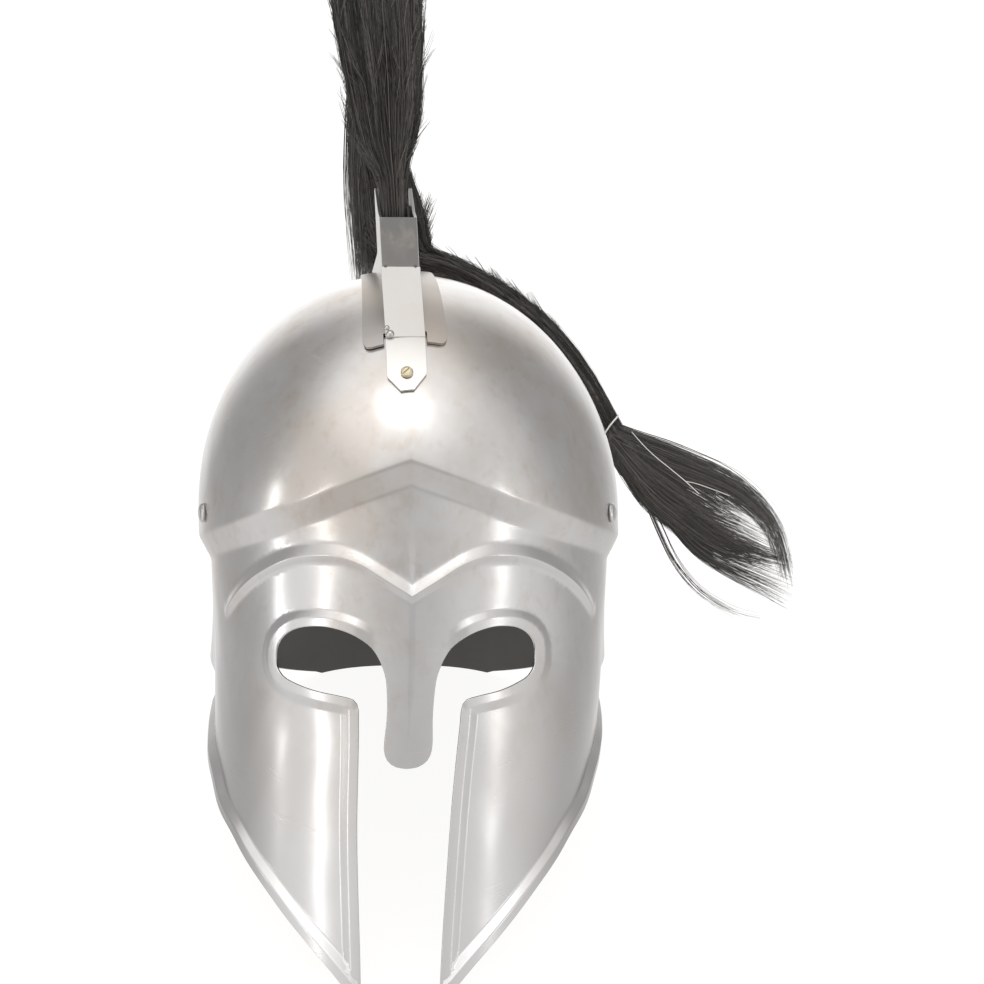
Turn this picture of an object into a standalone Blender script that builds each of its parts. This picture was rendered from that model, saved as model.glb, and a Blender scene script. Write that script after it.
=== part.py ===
"""Steel helmet of the closed Greek kind with a black horsehair plume, at rest on its cheek tips and neck rim.

Metres, +Z up, the face looks along -Y. Shapes are worked out in the helmet's own upright frame, in shares
of HEAD, and placed by posed(), which leans the helmet back until the cheek tips and the rim meet the floor.
"""

import math

import bpy
import numpy as np
from mathutils import Vector
from mathutils.geometry import delaunay_2d_cdt

# Head form: every share below is of this length
HEAD = 0.100
WALL = 0.0013

# Crown, a rounded form that overhangs the face
CROWN_HALF_WIDTH = 1.022
CROWN_FRONT = 1.24
CROWN_BACK = 1.20
CROWN_RISE = 1.14
CROWN_WIDEST = -0.08
CROWN_PLAN_POWER = 2.1
CROWN_POLE_Y = 0.0
STEP_DROP = 0.11
DOME_FOOT = 0.20

# Neck guard
NECK_FLARE = 0.393
NECK_START = -0.32
NECK_END = -0.93
NECK_FROM = math.radians(79)
NECK_FULL = math.radians(172)
NECK_NARROWING = math.radians(28)

# Raised edges: height of the relief and width of its flat and of its slope
EDGE_FLAT = 0.038
EDGE_SLOPE = 0.036
FACE_EDGE_RISE = 0.018
CHEEK_EDGE_RISE = 0.034
BROW_RISE = 0.022
BROW_ABOVE = 0.055
BROW_BELOW = 0.030

# Rest on the floor
REST_TILT = math.radians(28.5)
FLOOR_Y = -1.13
FLOOR_Z = -2.325
FOOT_REACH = 0.0011

# Mesh steps, in shares of HEAD
ROUND = 1.05
EDGE_STEP = 0.085
GRID_STEP = 0.150
DOME_SEGMENTS = 24
DOME_RINGS = 8

# Sections of the face and neck: level, half width, front reach, back reach
SECTIONS = (
    (0.20, 0.975, 1.175, 1.140),
    (-0.30, 0.965, 1.165, 1.110),
    (-0.60, 0.950, 1.152, 1.080),
    (-1.00, 0.935, 1.142, 1.070),
    (-1.50, 0.915, 1.132, 1.070),
    (-2.50, 0.880, 1.120, 1.070),
)
FACE_PLAN_POWER = 2.15

# Sideways lean of the hand-made form: level, shift toward +X
LEAN = (
    (-2.34, -0.036),
    (-1.50, -0.018),
    (-1.00, 0.010),
    (-0.75, 0.018),
    (-0.30, 0.020),
    (0.05, 0.014),
    (0.30, 0.009),
    (0.75, -0.001),
    (1.20, -0.006),
)

# The eyes are cut a little off the middle: shift, then middle and spread of it sideways and in level
EYE_SHIFT = -0.028
EYE_MIDDLE = (0.55, -0.76)
EYE_SPREAD = (0.20, 0.22)

# Upper crease of the step under the crown: angle from the front in degrees, level
STEP_LINE = (
    (0, 0.140),
    (12, 0.052),
    (24, -0.036),
    (41, -0.120),
    (60, -0.178),
    (90, -0.212),
    (180, -0.212),
)

# Brow ridge: angle from the front in degrees, level
BROW_LINE = (
    (0.0, -0.475),
    (5.5, -0.405),
    (12.0, -0.325),
    (19.6, -0.288),
    (28.0, -0.302),
    (38.0, -0.365),
    (48.0, -0.455),
    (57.5, -0.560),
)

# Face opening seen from the front: distance from the middle, level
OPENING = (
    (0.000, -1.254),
    (0.050, -1.246),
    (0.090, -1.216),
    (0.107, -1.152),
    (0.101, -1.020),
    (0.103, -0.940),
    (0.115, -0.835),
    (0.129, -0.795),
    (0.150, -0.750),
    (0.184, -0.701),
    (0.250, -0.652),
    (0.324, -0.622),
    (0.410, -0.608),
    (0.505, -0.620),
    (0.556, -0.652),
    (0.584, -0.695),
    (0.590, -0.750),
    (0.588, -0.796),
    (0.560, -0.845),
    (0.505, -0.877),
    (0.422, -0.908),
    (0.300, -0.934),
    (0.254, -0.948),
    (0.236, -0.975),
    (0.232, -1.030),
    (0.207, -1.660),
    (0.184, -2.170),
    (0.180, -2.340),
)

# Lower edge from the cheek tip round to the back: angle from the front in degrees, level
CHEEK_EDGE = (
    (9.2, -2.345),
    (11.2, -2.290),
    (16.4, -2.170),
    (29.0, -1.930),
    (35.5, -1.815),
    (43.0, -1.700),
    (50.1, -1.592),
    (60.0, -1.482),
    (68.2, -1.366),
    (80.0, -1.260),
    (90.0, -1.170),
    (100.0, -1.075),
    (107.0, -0.995),
    (111.0, -0.930),
    (113.0, -0.860),
    (116.0, -0.815),
)
NECK_EDGE = (
    (116.0, -0.815),
    (121.0, -0.822),
    (130.0, -0.850),
    (142.0, -0.890),
    (155.0, -0.936),
    (166.0, -0.956),
    (180.0, -0.962),
)

# Plume holder
HOLDER_X = -0.017 * HEAD
HOLDER_AXIS_Y = -0.80 * HEAD
HOLDER_LEAN_FROM = 0.85 * HEAD
HOLDER_SKEW = math.radians(2.8)
HOLDER_LEAN = 0.05
HOLDER_SHEET = 0.0015
SOCKET_WIDTH = 0.176 * HEAD
SOCKET_FRONT = -0.75 * HEAD
SOCKET_BACK = -0.45 * HEAD
SOCKET_FLOOR = 1.044 * HEAD
SOCKET_FRONT_TOP = 1.280 * HEAD
SOCKET_BACK_TOP = 1.440 * HEAD
PLATE_BACK = 1.140 * HEAD
PLATE_END = 1.125 * HEAD
SADDLE_FRONT = 0.679 * HEAD
SADDLE_HALF = 0.193 * HEAD
SADDLE_BACK_HALF = 0.155 * HEAD
SADDLE_BACK = 0.10 * HEAD
STRIP_HALF = 0.092 * HEAD
TAB_TOP = 0.700 * HEAD
TAB_END = 0.455 * HEAD
STAND_OFF = 0.0003

# Fasteners
SCREW_LEVEL = 0.532 * HEAD
SCREW_RADIUS = 0.0029
SCREW_HEIGHT = 0.0019
SLOT_WIDTH = 0.0009
SLOT_DEPTH = 0.0008
RIVET_ANGLES = {-1: math.radians(69), 1: math.radians(64)}
RIVET_LEVEL = -0.098 * HEAD
RIVET_RADIUS = 0.0048
RIVET_HEIGHT = 0.0018

# Plume: middle of the hair in the upright frame, half width, half depth
PLUME_PATH = (
    (-0.046, -0.600, 1.065, 0.053, 0.108),
    (-0.057, -0.600, 1.300, 0.054, 0.110),
    (-0.066, -0.600, 1.470, 0.058, 0.112),
    (-0.088, -0.592, 1.620, 0.120, 0.150),
    (-0.100, -0.580, 1.850, 0.160, 0.165),
    (-0.140, -0.510, 2.320, 0.205, 0.185),
    (-0.145, -0.280, 2.720, 0.205, 0.190),
    (-0.130, 0.080, 2.870, 0.190, 0.180),
    (-0.115, 0.380, 2.640, 0.185, 0.175),
    (-0.100, 0.520, 2.200, 0.165, 0.165),
    (-0.095, 0.540, 1.720, 0.170, 0.160),
    (-0.010, 0.500, 1.330, 0.225, 0.150),
    (0.230, 0.440, 1.110, 0.110, 0.160),
    (0.480, 0.390, 0.950, 0.088, 0.150),
    (0.700, 0.370, 0.775, 0.085, 0.120),
    (0.890, 0.365, 0.540, 0.076, 0.095),
    (1.005, 0.363, 0.350, 0.066, 0.066),
    (1.043, 0.355, 0.280, 0.066, 0.066),
    (1.140, 0.365, 0.180, 0.120, 0.110),
    (1.270, 0.400, 0.070, 0.200, 0.150),
    (1.490, 0.440, -0.060, 0.245, 0.170),
    (1.690, 0.480, -0.180, 0.200, 0.150),
)
PLUME_SIDES = 16
PLUME_GAP = 0.010
PLUME_STEP = 0.155
LOCK_DEPTH = 0.10
LOCK_STEP = 0.12
LOCK_END = 0.012
LOCKS = 7
TIE_FROM = 16
TIE_REACH = 0.011 * HEAD
THREAD = 0.0010

# Lock ends beyond the tuft: start, end, radius at the start
TUFT_LOCKS = (
    ((1.340, 0.420, 0.100), (1.780, 0.480, -0.010), 0.090),
    ((1.420, 0.460, 0.000), (1.930, 0.520, -0.200), 0.095),
    ((1.400, 0.480, -0.060), (1.970, 0.560, -0.340), 0.095),
    ((1.420, 0.400, -0.120), (1.930, 0.400, -0.430), 0.095),
    ((1.340, 0.440, -0.160), (1.760, 0.480, -0.480), 0.090),
    ((1.260, 0.380, -0.120), (1.500, 0.400, -0.460), 0.080),
)

MATERIALS = {
    "shell": ((0.60, 0.60, 0.59), 0.28, 1.0),
    "plume_holder": ((0.52, 0.52, 0.52), 0.36, 1.0),
    "holder_screw": ((0.72, 0.55, 0.26), 0.30, 1.0),
    "strap_rivet_right": ((0.60, 0.60, 0.59), 0.30, 1.0),
    "strap_rivet_left": ((0.60, 0.60, 0.59), 0.30, 1.0),
    "plume": ((0.016, 0.014, 0.013), 0.45, 0.0),
    "plume_tie": ((0.80, 0.78, 0.73), 0.80, 0.0),
}


def curve_at(rows, at):
    """Smooth value of column 1 against column 0, with slopes taken from the neighbours."""
    xs = np.array([row[0] for row in rows], float)
    ys = np.array([row[1] for row in rows], float)
    steps = np.diff(ys) / np.diff(xs)
    slopes = np.concatenate([[steps[0]], (steps[1:] + steps[:-1]) / 2, [steps[-1]]])
    slopes[1:-1][steps[1:] * steps[:-1] <= 0] = 0
    at = np.clip(at, xs[0], xs[-1])
    i = np.clip(np.searchsorted(xs, at, side="right") - 1, 0, len(xs) - 2)
    h = xs[i + 1] - xs[i]
    t = (at - xs[i]) / h
    a = (1 + 2 * t) * (1 - t) ** 2 * ys[i] + t * (1 - t) ** 2 * h * slopes[i]
    b = t * t * (3 - 2 * t) * ys[i + 1] + t * t * (t - 1) * h * slopes[i + 1]
    return a + b


def through(points, step):
    """Even points along a smooth line through the given ones."""
    p = np.array(points, float)
    lengths = np.concatenate([[0], np.cumsum(np.linalg.norm(np.diff(p, axis=0), axis=1))])
    fine = np.linspace(0, lengths[-1], 40 * len(p))
    dense = np.stack(
        [curve_at(list(zip(lengths, p[:, k])), fine) for k in range(p.shape[1])], axis=1
    )
    run = np.concatenate([[0], np.cumsum(np.linalg.norm(np.diff(dense, axis=0), axis=1))])
    count = max(2, int(round(run[-1] / step)) + 1)
    even = np.linspace(0, run[-1], count)
    return np.stack([np.interp(even, run, dense[:, k]) for k in range(p.shape[1])], axis=1)


def ease(t):
    t = np.clip(t, 0, 1)
    return t * t * (3 - 2 * t)


def plan_radius(theta, half_width, front, back, power):
    """Distance from the upright axis to a rounded plan outline."""
    s = np.abs(np.sin(theta)) / half_width
    c = np.cos(theta)
    c = np.where(c > 0, c / front, -c / back)
    return (s**power + c**power) ** (-1 / power)


def crown_power(theta):
    """The forehead is a little fuller than the sides."""
    return 1.98 + 0.22 * np.clip(np.cos(theta), 0, 1) + 0.10 * np.clip(-np.cos(theta), 0, 1)


def crown_reach(theta):
    return plan_radius(theta, CROWN_HALF_WIDTH, CROWN_FRONT, CROWN_BACK, CROWN_PLAN_POWER)


def crown_radius(theta, level):
    m = crown_power(theta)
    t = np.clip((level - CROWN_WIDEST) / CROWN_RISE, 0, 1)
    return crown_reach(theta) * (1 - t**m) ** (1 / m)


def crown_level(x, y):
    """Height of the crown over a point of the plan, in metres."""
    theta = np.arctan2(x, -y)
    m = crown_power(theta)
    t = np.hypot(x, y) / HEAD / crown_reach(theta)
    return HEAD * (CROWN_WIDEST + CROWN_RISE * (1 - t**m) ** (1 / m))


def face_radius(theta, level):
    half, front, back = (
        curve_at([(row[0], row[k]) for row in reversed(SECTIONS)], level) for k in (1, 2, 3)
    )
    start = NECK_FROM + NECK_NARROWING * ease((-0.80 - level) / 0.22)
    flare = ease((theta - start) / (NECK_FULL - start))
    drop = np.clip((NECK_START - level) / (NECK_START - NECK_END), 0, 1.1)
    return plan_radius(theta, half, front, back, FACE_PLAN_POWER) + NECK_FLARE * flare * drop


def base_radius(theta, level):
    """Radius of the form without its raised edges."""
    theta = np.abs(theta)
    upper = curve_at(STEP_LINE, np.degrees(theta))
    k = np.clip((level - upper + STEP_DROP) / STEP_DROP, 0, 1)
    face = face_radius(theta, level)
    crown = crown_radius(theta, np.maximum(level, upper))
    return np.where(k >= 1, crown_radius(theta, level), face + k * (crown - face))


def angle_of(x, level):
    """Angle at which the form reaches this far sideways at this level."""
    low = np.zeros_like(x)
    high = np.full_like(x, math.radians(82))
    for _ in range(40):
        middle = (low + high) / 2
        inside = base_radius(middle, level) * np.sin(middle) < x
        low = np.where(inside, middle, low)
        high = np.where(inside, high, middle)
    return (low + high) / 2


def floor_level(y):
    """Level of the floor in the upright frame, at this depth."""
    return FLOOR_Z + (y - FLOOR_Y) * math.tan(REST_TILT)


def above_floor(edge, rise):
    """Lower edges are cut straight where they would reach past the floor."""
    theta = edge[:, 0] / ROUND

    def height(level):
        y = -(base_radius(theta, level) + rise) * np.cos(theta)
        return level - floor_level(y)

    low, high = edge[:, 1].copy(), edge[:, 1] + 0.3
    clear = height(low) >= 0
    for _ in range(30):
        middle = (low + high) / 2
        under = height(middle) < 0
        low = np.where(under, middle, low)
        high = np.where(under, high, middle)
    edge[:, 1] = np.where(clear, edge[:, 1], high)
    return edge


def flattened(points):
    """Both faces of the wall end level on the floor at the cheek tips and the neck rim."""
    up = np.array([0, -math.sin(REST_TILT), math.cos(REST_TILT)])
    height = (points - HEAD * np.array([0, FLOOR_Y, FLOOR_Z])) @ up
    low = height < FOOT_REACH
    points[low] -= height[low, None] * up
    return points


def edge_lines(step):
    """Opening edge, cheek edge and neck edge as points of the unrolled half: length round, level."""
    opening = through(OPENING, step)
    opening = np.stack([angle_of(opening[:, 0], opening[:, 1]) * ROUND, opening[:, 1]], axis=1)
    cheek = [(math.radians(a) * ROUND, level) for a, level in CHEEK_EDGE]
    neck = [(math.radians(a) * ROUND, level) for a, level in NECK_EDGE]
    cheek, neck = through(cheek, step), through(neck, step)
    return above_floor(opening, CHEEK_EDGE_RISE), above_floor(cheek, CHEEK_EDGE_RISE), above_floor(neck, 0)


def distance_to(points, line):
    """Distance of each point to a line of segments."""
    best = np.full(len(points), np.inf)
    for a, b in zip(line[:-1], line[1:]):
        span = b - a
        t = np.clip(((points - a) @ span) / max(span @ span, 1e-12), 0, 1)
        best = np.minimum(best, np.linalg.norm(points - a - t[:, None] * span, axis=1))
    return best


def edge_profile(distance):
    return np.clip((EDGE_FLAT + EDGE_SLOPE - distance) / EDGE_SLOPE, 0, 1)


def relief(points, opening, cheek):
    """Height of the raised edges and of the brow ridge over the base form."""
    s, level = points[:, 0], points[:, 1]
    degrees = np.degrees(s / ROUND)
    nose = ease((s - 0.150) / 0.10) + ease((-0.98 - level) / 0.06) * (s > 0.15)
    inner = FACE_EDGE_RISE * edge_profile(distance_to(points, opening)) * np.clip(nose, 0, 1)
    start = ease((112 - degrees) / 12)
    outer = CHEEK_EDGE_RISE * edge_profile(distance_to(points, cheek)) * start
    brow = level - curve_at(BROW_LINE, degrees)
    ridge = np.where(brow > 0, 1 - brow / BROW_ABOVE, 1 + brow / BROW_BELOW)
    ridge = np.clip(ridge, 0, 1) * ease((62 - degrees) / 8)
    return np.maximum(inner, outer) + BROW_RISE * ridge


def form(points, opening, cheek):
    """Outer surface of the shell in metres, upright frame, for points of the unrolled half."""
    theta = points[:, 0] / ROUND
    radius = base_radius(theta, points[:, 1]) + relief(points, opening, cheek)
    return np.stack([radius * np.sin(theta), -radius * np.cos(theta), points[:, 1]], axis=1) * HEAD


def inside(points, polygon):
    x, y = points[:, 0], points[:, 1]
    odd = np.zeros(len(points), bool)
    for (x0, y0), (x1, y1) in zip(polygon, np.roll(polygon, -1, axis=0)):
        if y0 == y1:
            continue
        crosses = (y0 > y) != (y1 > y)
        odd ^= crosses & (x < (x1 - x0) * (y - y0) / (y1 - y0) + x0)
    return odd


def offset_line(line, distance, boundary):
    """The line moved to both sides, kept where it stays that far from the boundary."""
    along = np.gradient(line, axis=0)
    along /= np.linalg.norm(along, axis=1)[:, None]
    across = np.stack([-along[:, 1], along[:, 0]], axis=1)
    runs = []
    for side in (1, -1):
        moved = line + side * distance * across
        keep = distance_to(moved, boundary) > 0.97 * distance
        keep &= inside(moved, boundary)
        start = None
        for i, k in enumerate(list(keep) + [False]):
            if k and start is None:
                start = i
            if not k and start is not None:
                if i - start > 1:
                    runs.append(moved[start:i])
                start = None
    return runs


def half_sheet(edge_step, grid_step, segments):
    """Lower half of the sheet as unrolled points and triangles, and its edge lines."""
    opening, cheek, neck = edge_lines(edge_step)
    end = math.pi * ROUND
    top = np.stack([np.linspace(end, 0, segments + 1), np.full(segments + 1, DOME_FOOT)], axis=1)
    boundary = np.concatenate([opening, cheek[1:], neck[1:], top])
    boundary[-1, 0] = 0
    free = np.concatenate([opening, cheek[1:], neck[1:]])
    lines = [np.vstack([boundary, boundary[:1]])]
    for distance in (EDGE_FLAT, EDGE_FLAT + EDGE_SLOPE):
        lines += offset_line(np.concatenate([opening[6:], cheek[1:]]), distance, boundary)
    count = int(end / grid_step) + 1
    s = np.linspace(0, end, count)
    upper = curve_at(STEP_LINE, np.degrees(s / ROUND))
    lines.append(np.stack([s, upper], axis=1))
    lines.append(np.stack([s, upper - STEP_DROP], axis=1))
    s = np.linspace(0, math.radians(60) * ROUND, int(1.1 / grid_step) + 1)
    brow = curve_at(BROW_LINE, np.degrees(s / ROUND))
    for shift in (BROW_ABOVE, 0, -BROW_BELOW):
        lines.append(np.stack([s, brow + shift], axis=1))
    rows = np.arange(-2.4, DOME_FOOT, grid_step * 0.87)
    grid = [
        (x + (0.5 * grid_step if k % 2 else 0), level)
        for k, level in enumerate(rows)
        for x in np.arange(grid_step * 0.5, end, grid_step)
    ]
    grid = np.array(grid)
    grid = grid[inside(grid, boundary)]
    for line in lines:
        near = 0.55 * grid_step
        grid = grid[distance_to(grid, line) > near]
    points, edges = [], []
    for line in lines:
        first = len(points)
        points += [tuple(p) for p in line]
        edges += [(i, i + 1) for i in range(first, len(points) - 1)]
    points += [tuple(p) for p in grid]
    made = delaunay_2d_cdt([Vector(p) for p in points], edges, [], 0, 1e-5)
    flat = np.array([tuple(v) for v in made[0]])
    faces = np.array([tuple(f) for f in made[2]])
    middle = flat[faces].mean(axis=1)
    a, b, c = (flat[faces[:, k]] for k in range(3))
    area = (b[:, 0] - a[:, 0]) * (c[:, 1] - a[:, 1]) - (b[:, 1] - a[:, 1]) * (c[:, 0] - a[:, 0])
    faces = faces[inside(middle, boundary) & (np.abs(area) > 1e-7)]
    area = area[inside(middle, boundary) & (np.abs(area) > 1e-7)]
    faces[area < 0] = faces[area < 0][:, ::-1]
    return flat, faces, opening, cheek


def dome_half(segments, rings):
    """Upper half of the sheet as a fan of rings from the dome's foot to its top."""
    start = math.asin((DOME_FOOT - CROWN_WIDEST) / CROWN_RISE)
    points, faces = [], []
    for ring in range(rings):
        lift = start + (math.pi / 2 - start) * ring / rings
        level = CROWN_WIDEST + CROWN_RISE * math.sin(lift)
        theta = np.linspace(0, math.pi, segments + 1)
        radius = crown_radius(theta, level)
        points += [tuple(p) for p in np.stack(
            [radius * np.sin(theta), -radius * np.cos(theta), np.full(segments + 1, level)], axis=1
        ) * HEAD]
    top = len(points)
    points.append((0, 0, HEAD * (CROWN_WIDEST + CROWN_RISE)))
    row = segments + 1
    for ring in range(rings - 1):
        for k in range(segments):
            a = ring * row + k
            faces.append((a, a + 1, a + row + 1))
            faces.append((a, a + row + 1, a + row))
    for k in range(segments):
        faces.append(((rings - 1) * row + k, (rings - 1) * row + k + 1, top))
    return np.array(points), np.array(faces)


def welded(points, faces, within=2e-5):
    keys = np.round(points / within).astype(np.int64)
    _, first, index = np.unique(keys, axis=0, return_index=True, return_inverse=True)
    faces = index.reshape(-1)[faces]
    whole = (
        (faces[:, 0] != faces[:, 1]) & (faces[:, 1] != faces[:, 2]) & (faces[:, 0] != faces[:, 2])
    )
    return points[first], faces[whole]


def normals_of(points, faces):
    a, b, c = (points[faces[:, k]] for k in range(3))
    across = np.cross(b - a, c - a)
    across /= np.maximum(np.linalg.norm(across, axis=1), 1e-18)[:, None]
    normals = np.zeros_like(points)
    for k in range(3):
        p = points[faces[:, k]]
        q = points[faces[:, (k + 1) % 3]] - p
        r = points[faces[:, (k + 2) % 3]] - p
        cosine = (q * r).sum(axis=1) / (np.linalg.norm(q, axis=1) * np.linalg.norm(r, axis=1) + 1e-18)
        angle = np.arccos(np.clip(cosine, -1, 1))
        np.add.at(normals, faces[:, k], across * angle[:, None])
    return normals / np.maximum(np.linalg.norm(normals, axis=1), 1e-18)[:, None]


def thickened(points, faces, wall):
    """Closed solid between the sheet and its copy one wall further in."""
    normals = normals_of(points, faces)
    inner = points - wall * normals
    count = len(points)
    ends = np.concatenate([faces[:, [0, 1]], faces[:, [1, 2]], faces[:, [2, 0]]])
    key = ends.min(axis=1) * count + ends.max(axis=1)
    _, index, times = np.unique(key, return_inverse=True, return_counts=True)
    rim = ends[times[index.reshape(-1)] == 1]
    sides = [(b, a, a + count) for a, b in rim] + [(b, a + count, b + count) for a, b in rim]
    return (
        np.concatenate([points, inner]),
        np.concatenate([faces, faces[:, ::-1] + count, np.array(sides)]),
    )


def leaned(points):
    shift = curve_at(LEAN, points[:, 2] / HEAD)
    aside = (np.abs(points[:, 0]) / HEAD - EYE_MIDDLE[0]) / EYE_SPREAD[0]
    above = (points[:, 2] / HEAD - EYE_MIDDLE[1]) / EYE_SPREAD[1]
    front = np.clip(-points[:, 1] / HEAD, 0, 1)
    shift = HEAD * (shift + EYE_SHIFT * front * np.exp(-(aside**2) - above**2))
    return points + np.stack([shift, 0 * shift, 0 * shift], axis=1)


def shell_sheet(edge_step, grid_step, segments, rings):
    """Both halves of the outer sheet, welded, in the upright frame."""
    flat, faces, opening, cheek = half_sheet(edge_step, grid_step, segments)
    lower = form(flat, opening, cheek)
    dome, dome_faces = dome_half(segments, rings)
    half = np.concatenate([lower, dome])
    half_faces = np.concatenate([faces, dome_faces + len(lower)])
    half[np.abs(half[:, 0]) < 1e-6, 0] = 0
    other = half * (-1, 1, 1)
    points = np.concatenate([half, other])
    faces = np.concatenate([half_faces, half_faces[:, ::-1] + len(half)])
    points, faces = welded(points, faces)
    return leaned(points), faces


PLACE = [0.0, 0.0, 0.0]


def posed(points):
    """From the upright frame to the rest on the floor."""
    points = np.asarray(points, float)
    c, s = math.cos(-REST_TILT), math.sin(-REST_TILT)
    y = points[:, 1] * c - points[:, 2] * s
    z = points[:, 1] * s + points[:, 2] * c
    return np.stack([points[:, 0] + PLACE[0], y + PLACE[1], z + PLACE[2]], axis=1)


def material(name):
    base, rough, metal = MATERIALS[name]
    made = bpy.data.materials.new(name)
    made.use_nodes = True
    node = made.node_tree.nodes["Principled BSDF"]
    node.inputs["Base Color"].default_value = (*base, 1)
    node.inputs["Roughness"].default_value = rough
    node.inputs["Metallic"].default_value = metal
    made.diffuse_color = (*base, 1)
    return made


def mesh_object(name, points, faces, smooth=True):
    mesh = bpy.data.meshes.new(name)
    mesh.from_pydata([tuple(map(float, p)) for p in points], [], [tuple(map(int, f)) for f in faces])
    mesh.update()
    obj = bpy.data.objects.new(name, mesh)
    bpy.context.scene.collection.objects.link(obj)
    if smooth:
        mesh.polygons.foreach_set("use_smooth", [True] * len(mesh.polygons))
    return obj


def combined(pieces, operation="UNION"):
    """One mesh from overlapping closed pieces, given as points and faces."""
    first = mesh_object("work", *pieces[0])
    others = []
    for k, piece in enumerate(pieces[1:]):
        other = mesh_object(f"work_{k}", *piece)
        modifier = first.modifiers.new(f"step_{k}", "BOOLEAN")
        modifier.operation = operation
        modifier.solver = "MANIFOLD"
        modifier.object = other
        others.append(other)
    graph = bpy.context.evaluated_depsgraph_get()
    made = first.evaluated_get(graph).to_mesh()
    made.calc_loop_triangles()
    points = np.array([tuple(v.co) for v in made.vertices])
    faces = np.array([tuple(t.vertices) for t in made.loop_triangles])
    for obj in [first] + others:
        bpy.data.objects.remove(obj, do_unlink=True)
    return points, faces


def prism(outline, low, high, axis):
    """Closed prism of an outline in the two other axes, from low to high along the axis."""
    outline = np.array(outline, float)
    others = [k for k in range(3) if k != axis]
    area = 0.5 * sum(
        a[0] * b[1] - a[1] * b[0] for a, b in zip(outline, np.roll(outline, -1, axis=0))
    )
    if (area < 0) != (axis == 1):
        outline = outline[::-1]
    count = len(outline)
    points = np.zeros((2 * count, 3))
    points[:count, others] = outline
    points[count:, others] = outline
    points[:count, axis] = low
    points[count:, axis] = high
    faces = [tuple(reversed(range(count))), tuple(range(count, 2 * count))]
    for i in range(count):
        j = (i + 1) % count
        faces.append((i, j, count + j, count + i))
    return points, faces


def in_holder_frame(points):
    """Skewed about its upright axis and leaning a little, as it was set by hand."""
    points = np.array(points, float)
    lean = -HOLDER_LEAN * np.maximum(points[:, 2] - HOLDER_LEAN_FROM, 0)
    x = points[:, 0] + lean
    y = points[:, 1] - HOLDER_AXIS_Y
    c, s = math.cos(HOLDER_SKEW), math.sin(HOLDER_SKEW)
    return np.stack(
        [HOLDER_X + c * x - s * y, HOLDER_AXIS_Y + s * x + c * y, points[:, 2]], axis=1
    )


def seat(x, y, off):
    """Point over the crown at a place of the holder's plan, and the crown's outward direction there."""
    plan = in_holder_frame([(x, y, 0)])[0]
    shift = HEAD * float(curve_at(LEAN, 0.95))

    def level(dx, dy):
        return float(crown_level(np.array(plan[0] - shift + dx), np.array(plan[1] + dy)))

    eps = 1e-4
    z = level(0, 0)
    normal = np.array([-(level(eps, 0) - z) / eps, -(level(0, eps) - z) / eps, 1.0])
    normal /= np.linalg.norm(normal)
    return np.array([plan[0], plan[1], z]) + off * normal, normal


def slab(lines, columns, low, high):
    """Closed slab over the crown from lines of depth, first x and last x, between two heights over it."""
    grid = [(x, y) for y, first, last in lines for x in np.linspace(first, last, columns)]
    points = [seat(x, y, lift)[0] for lift in (high, low) for x, y in grid]
    rows = len(lines)
    count = columns * rows
    faces = []
    for j in range(rows - 1):
        for i in range(columns - 1):
            a = j * columns + i
            faces.append((a, a + 1, a + columns + 1, a + columns))
            faces.append((count + a, count + a + columns, count + a + columns + 1, count + a + 1))
    rim = [(i, i + 1) for i in range(columns - 1)]
    rim += [((j + 1) * columns - 1, (j + 2) * columns - 1) for j in range(rows - 1)]
    rim += [(count - 1 - i, count - 2 - i) for i in range(columns - 1)]
    rim += [((rows - 1 - j) * columns, (rows - 2 - j) * columns) for j in range(rows - 1)]
    faces += [(a, count + a, count + b, b) for a, b in rim]
    return np.array(points), faces


def slope_y(level):
    """Depth of the crown's front at a level, in metres, negative toward the face."""
    return -HEAD * float(crown_radius(np.array(0.0), np.array(level / HEAD)))


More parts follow.
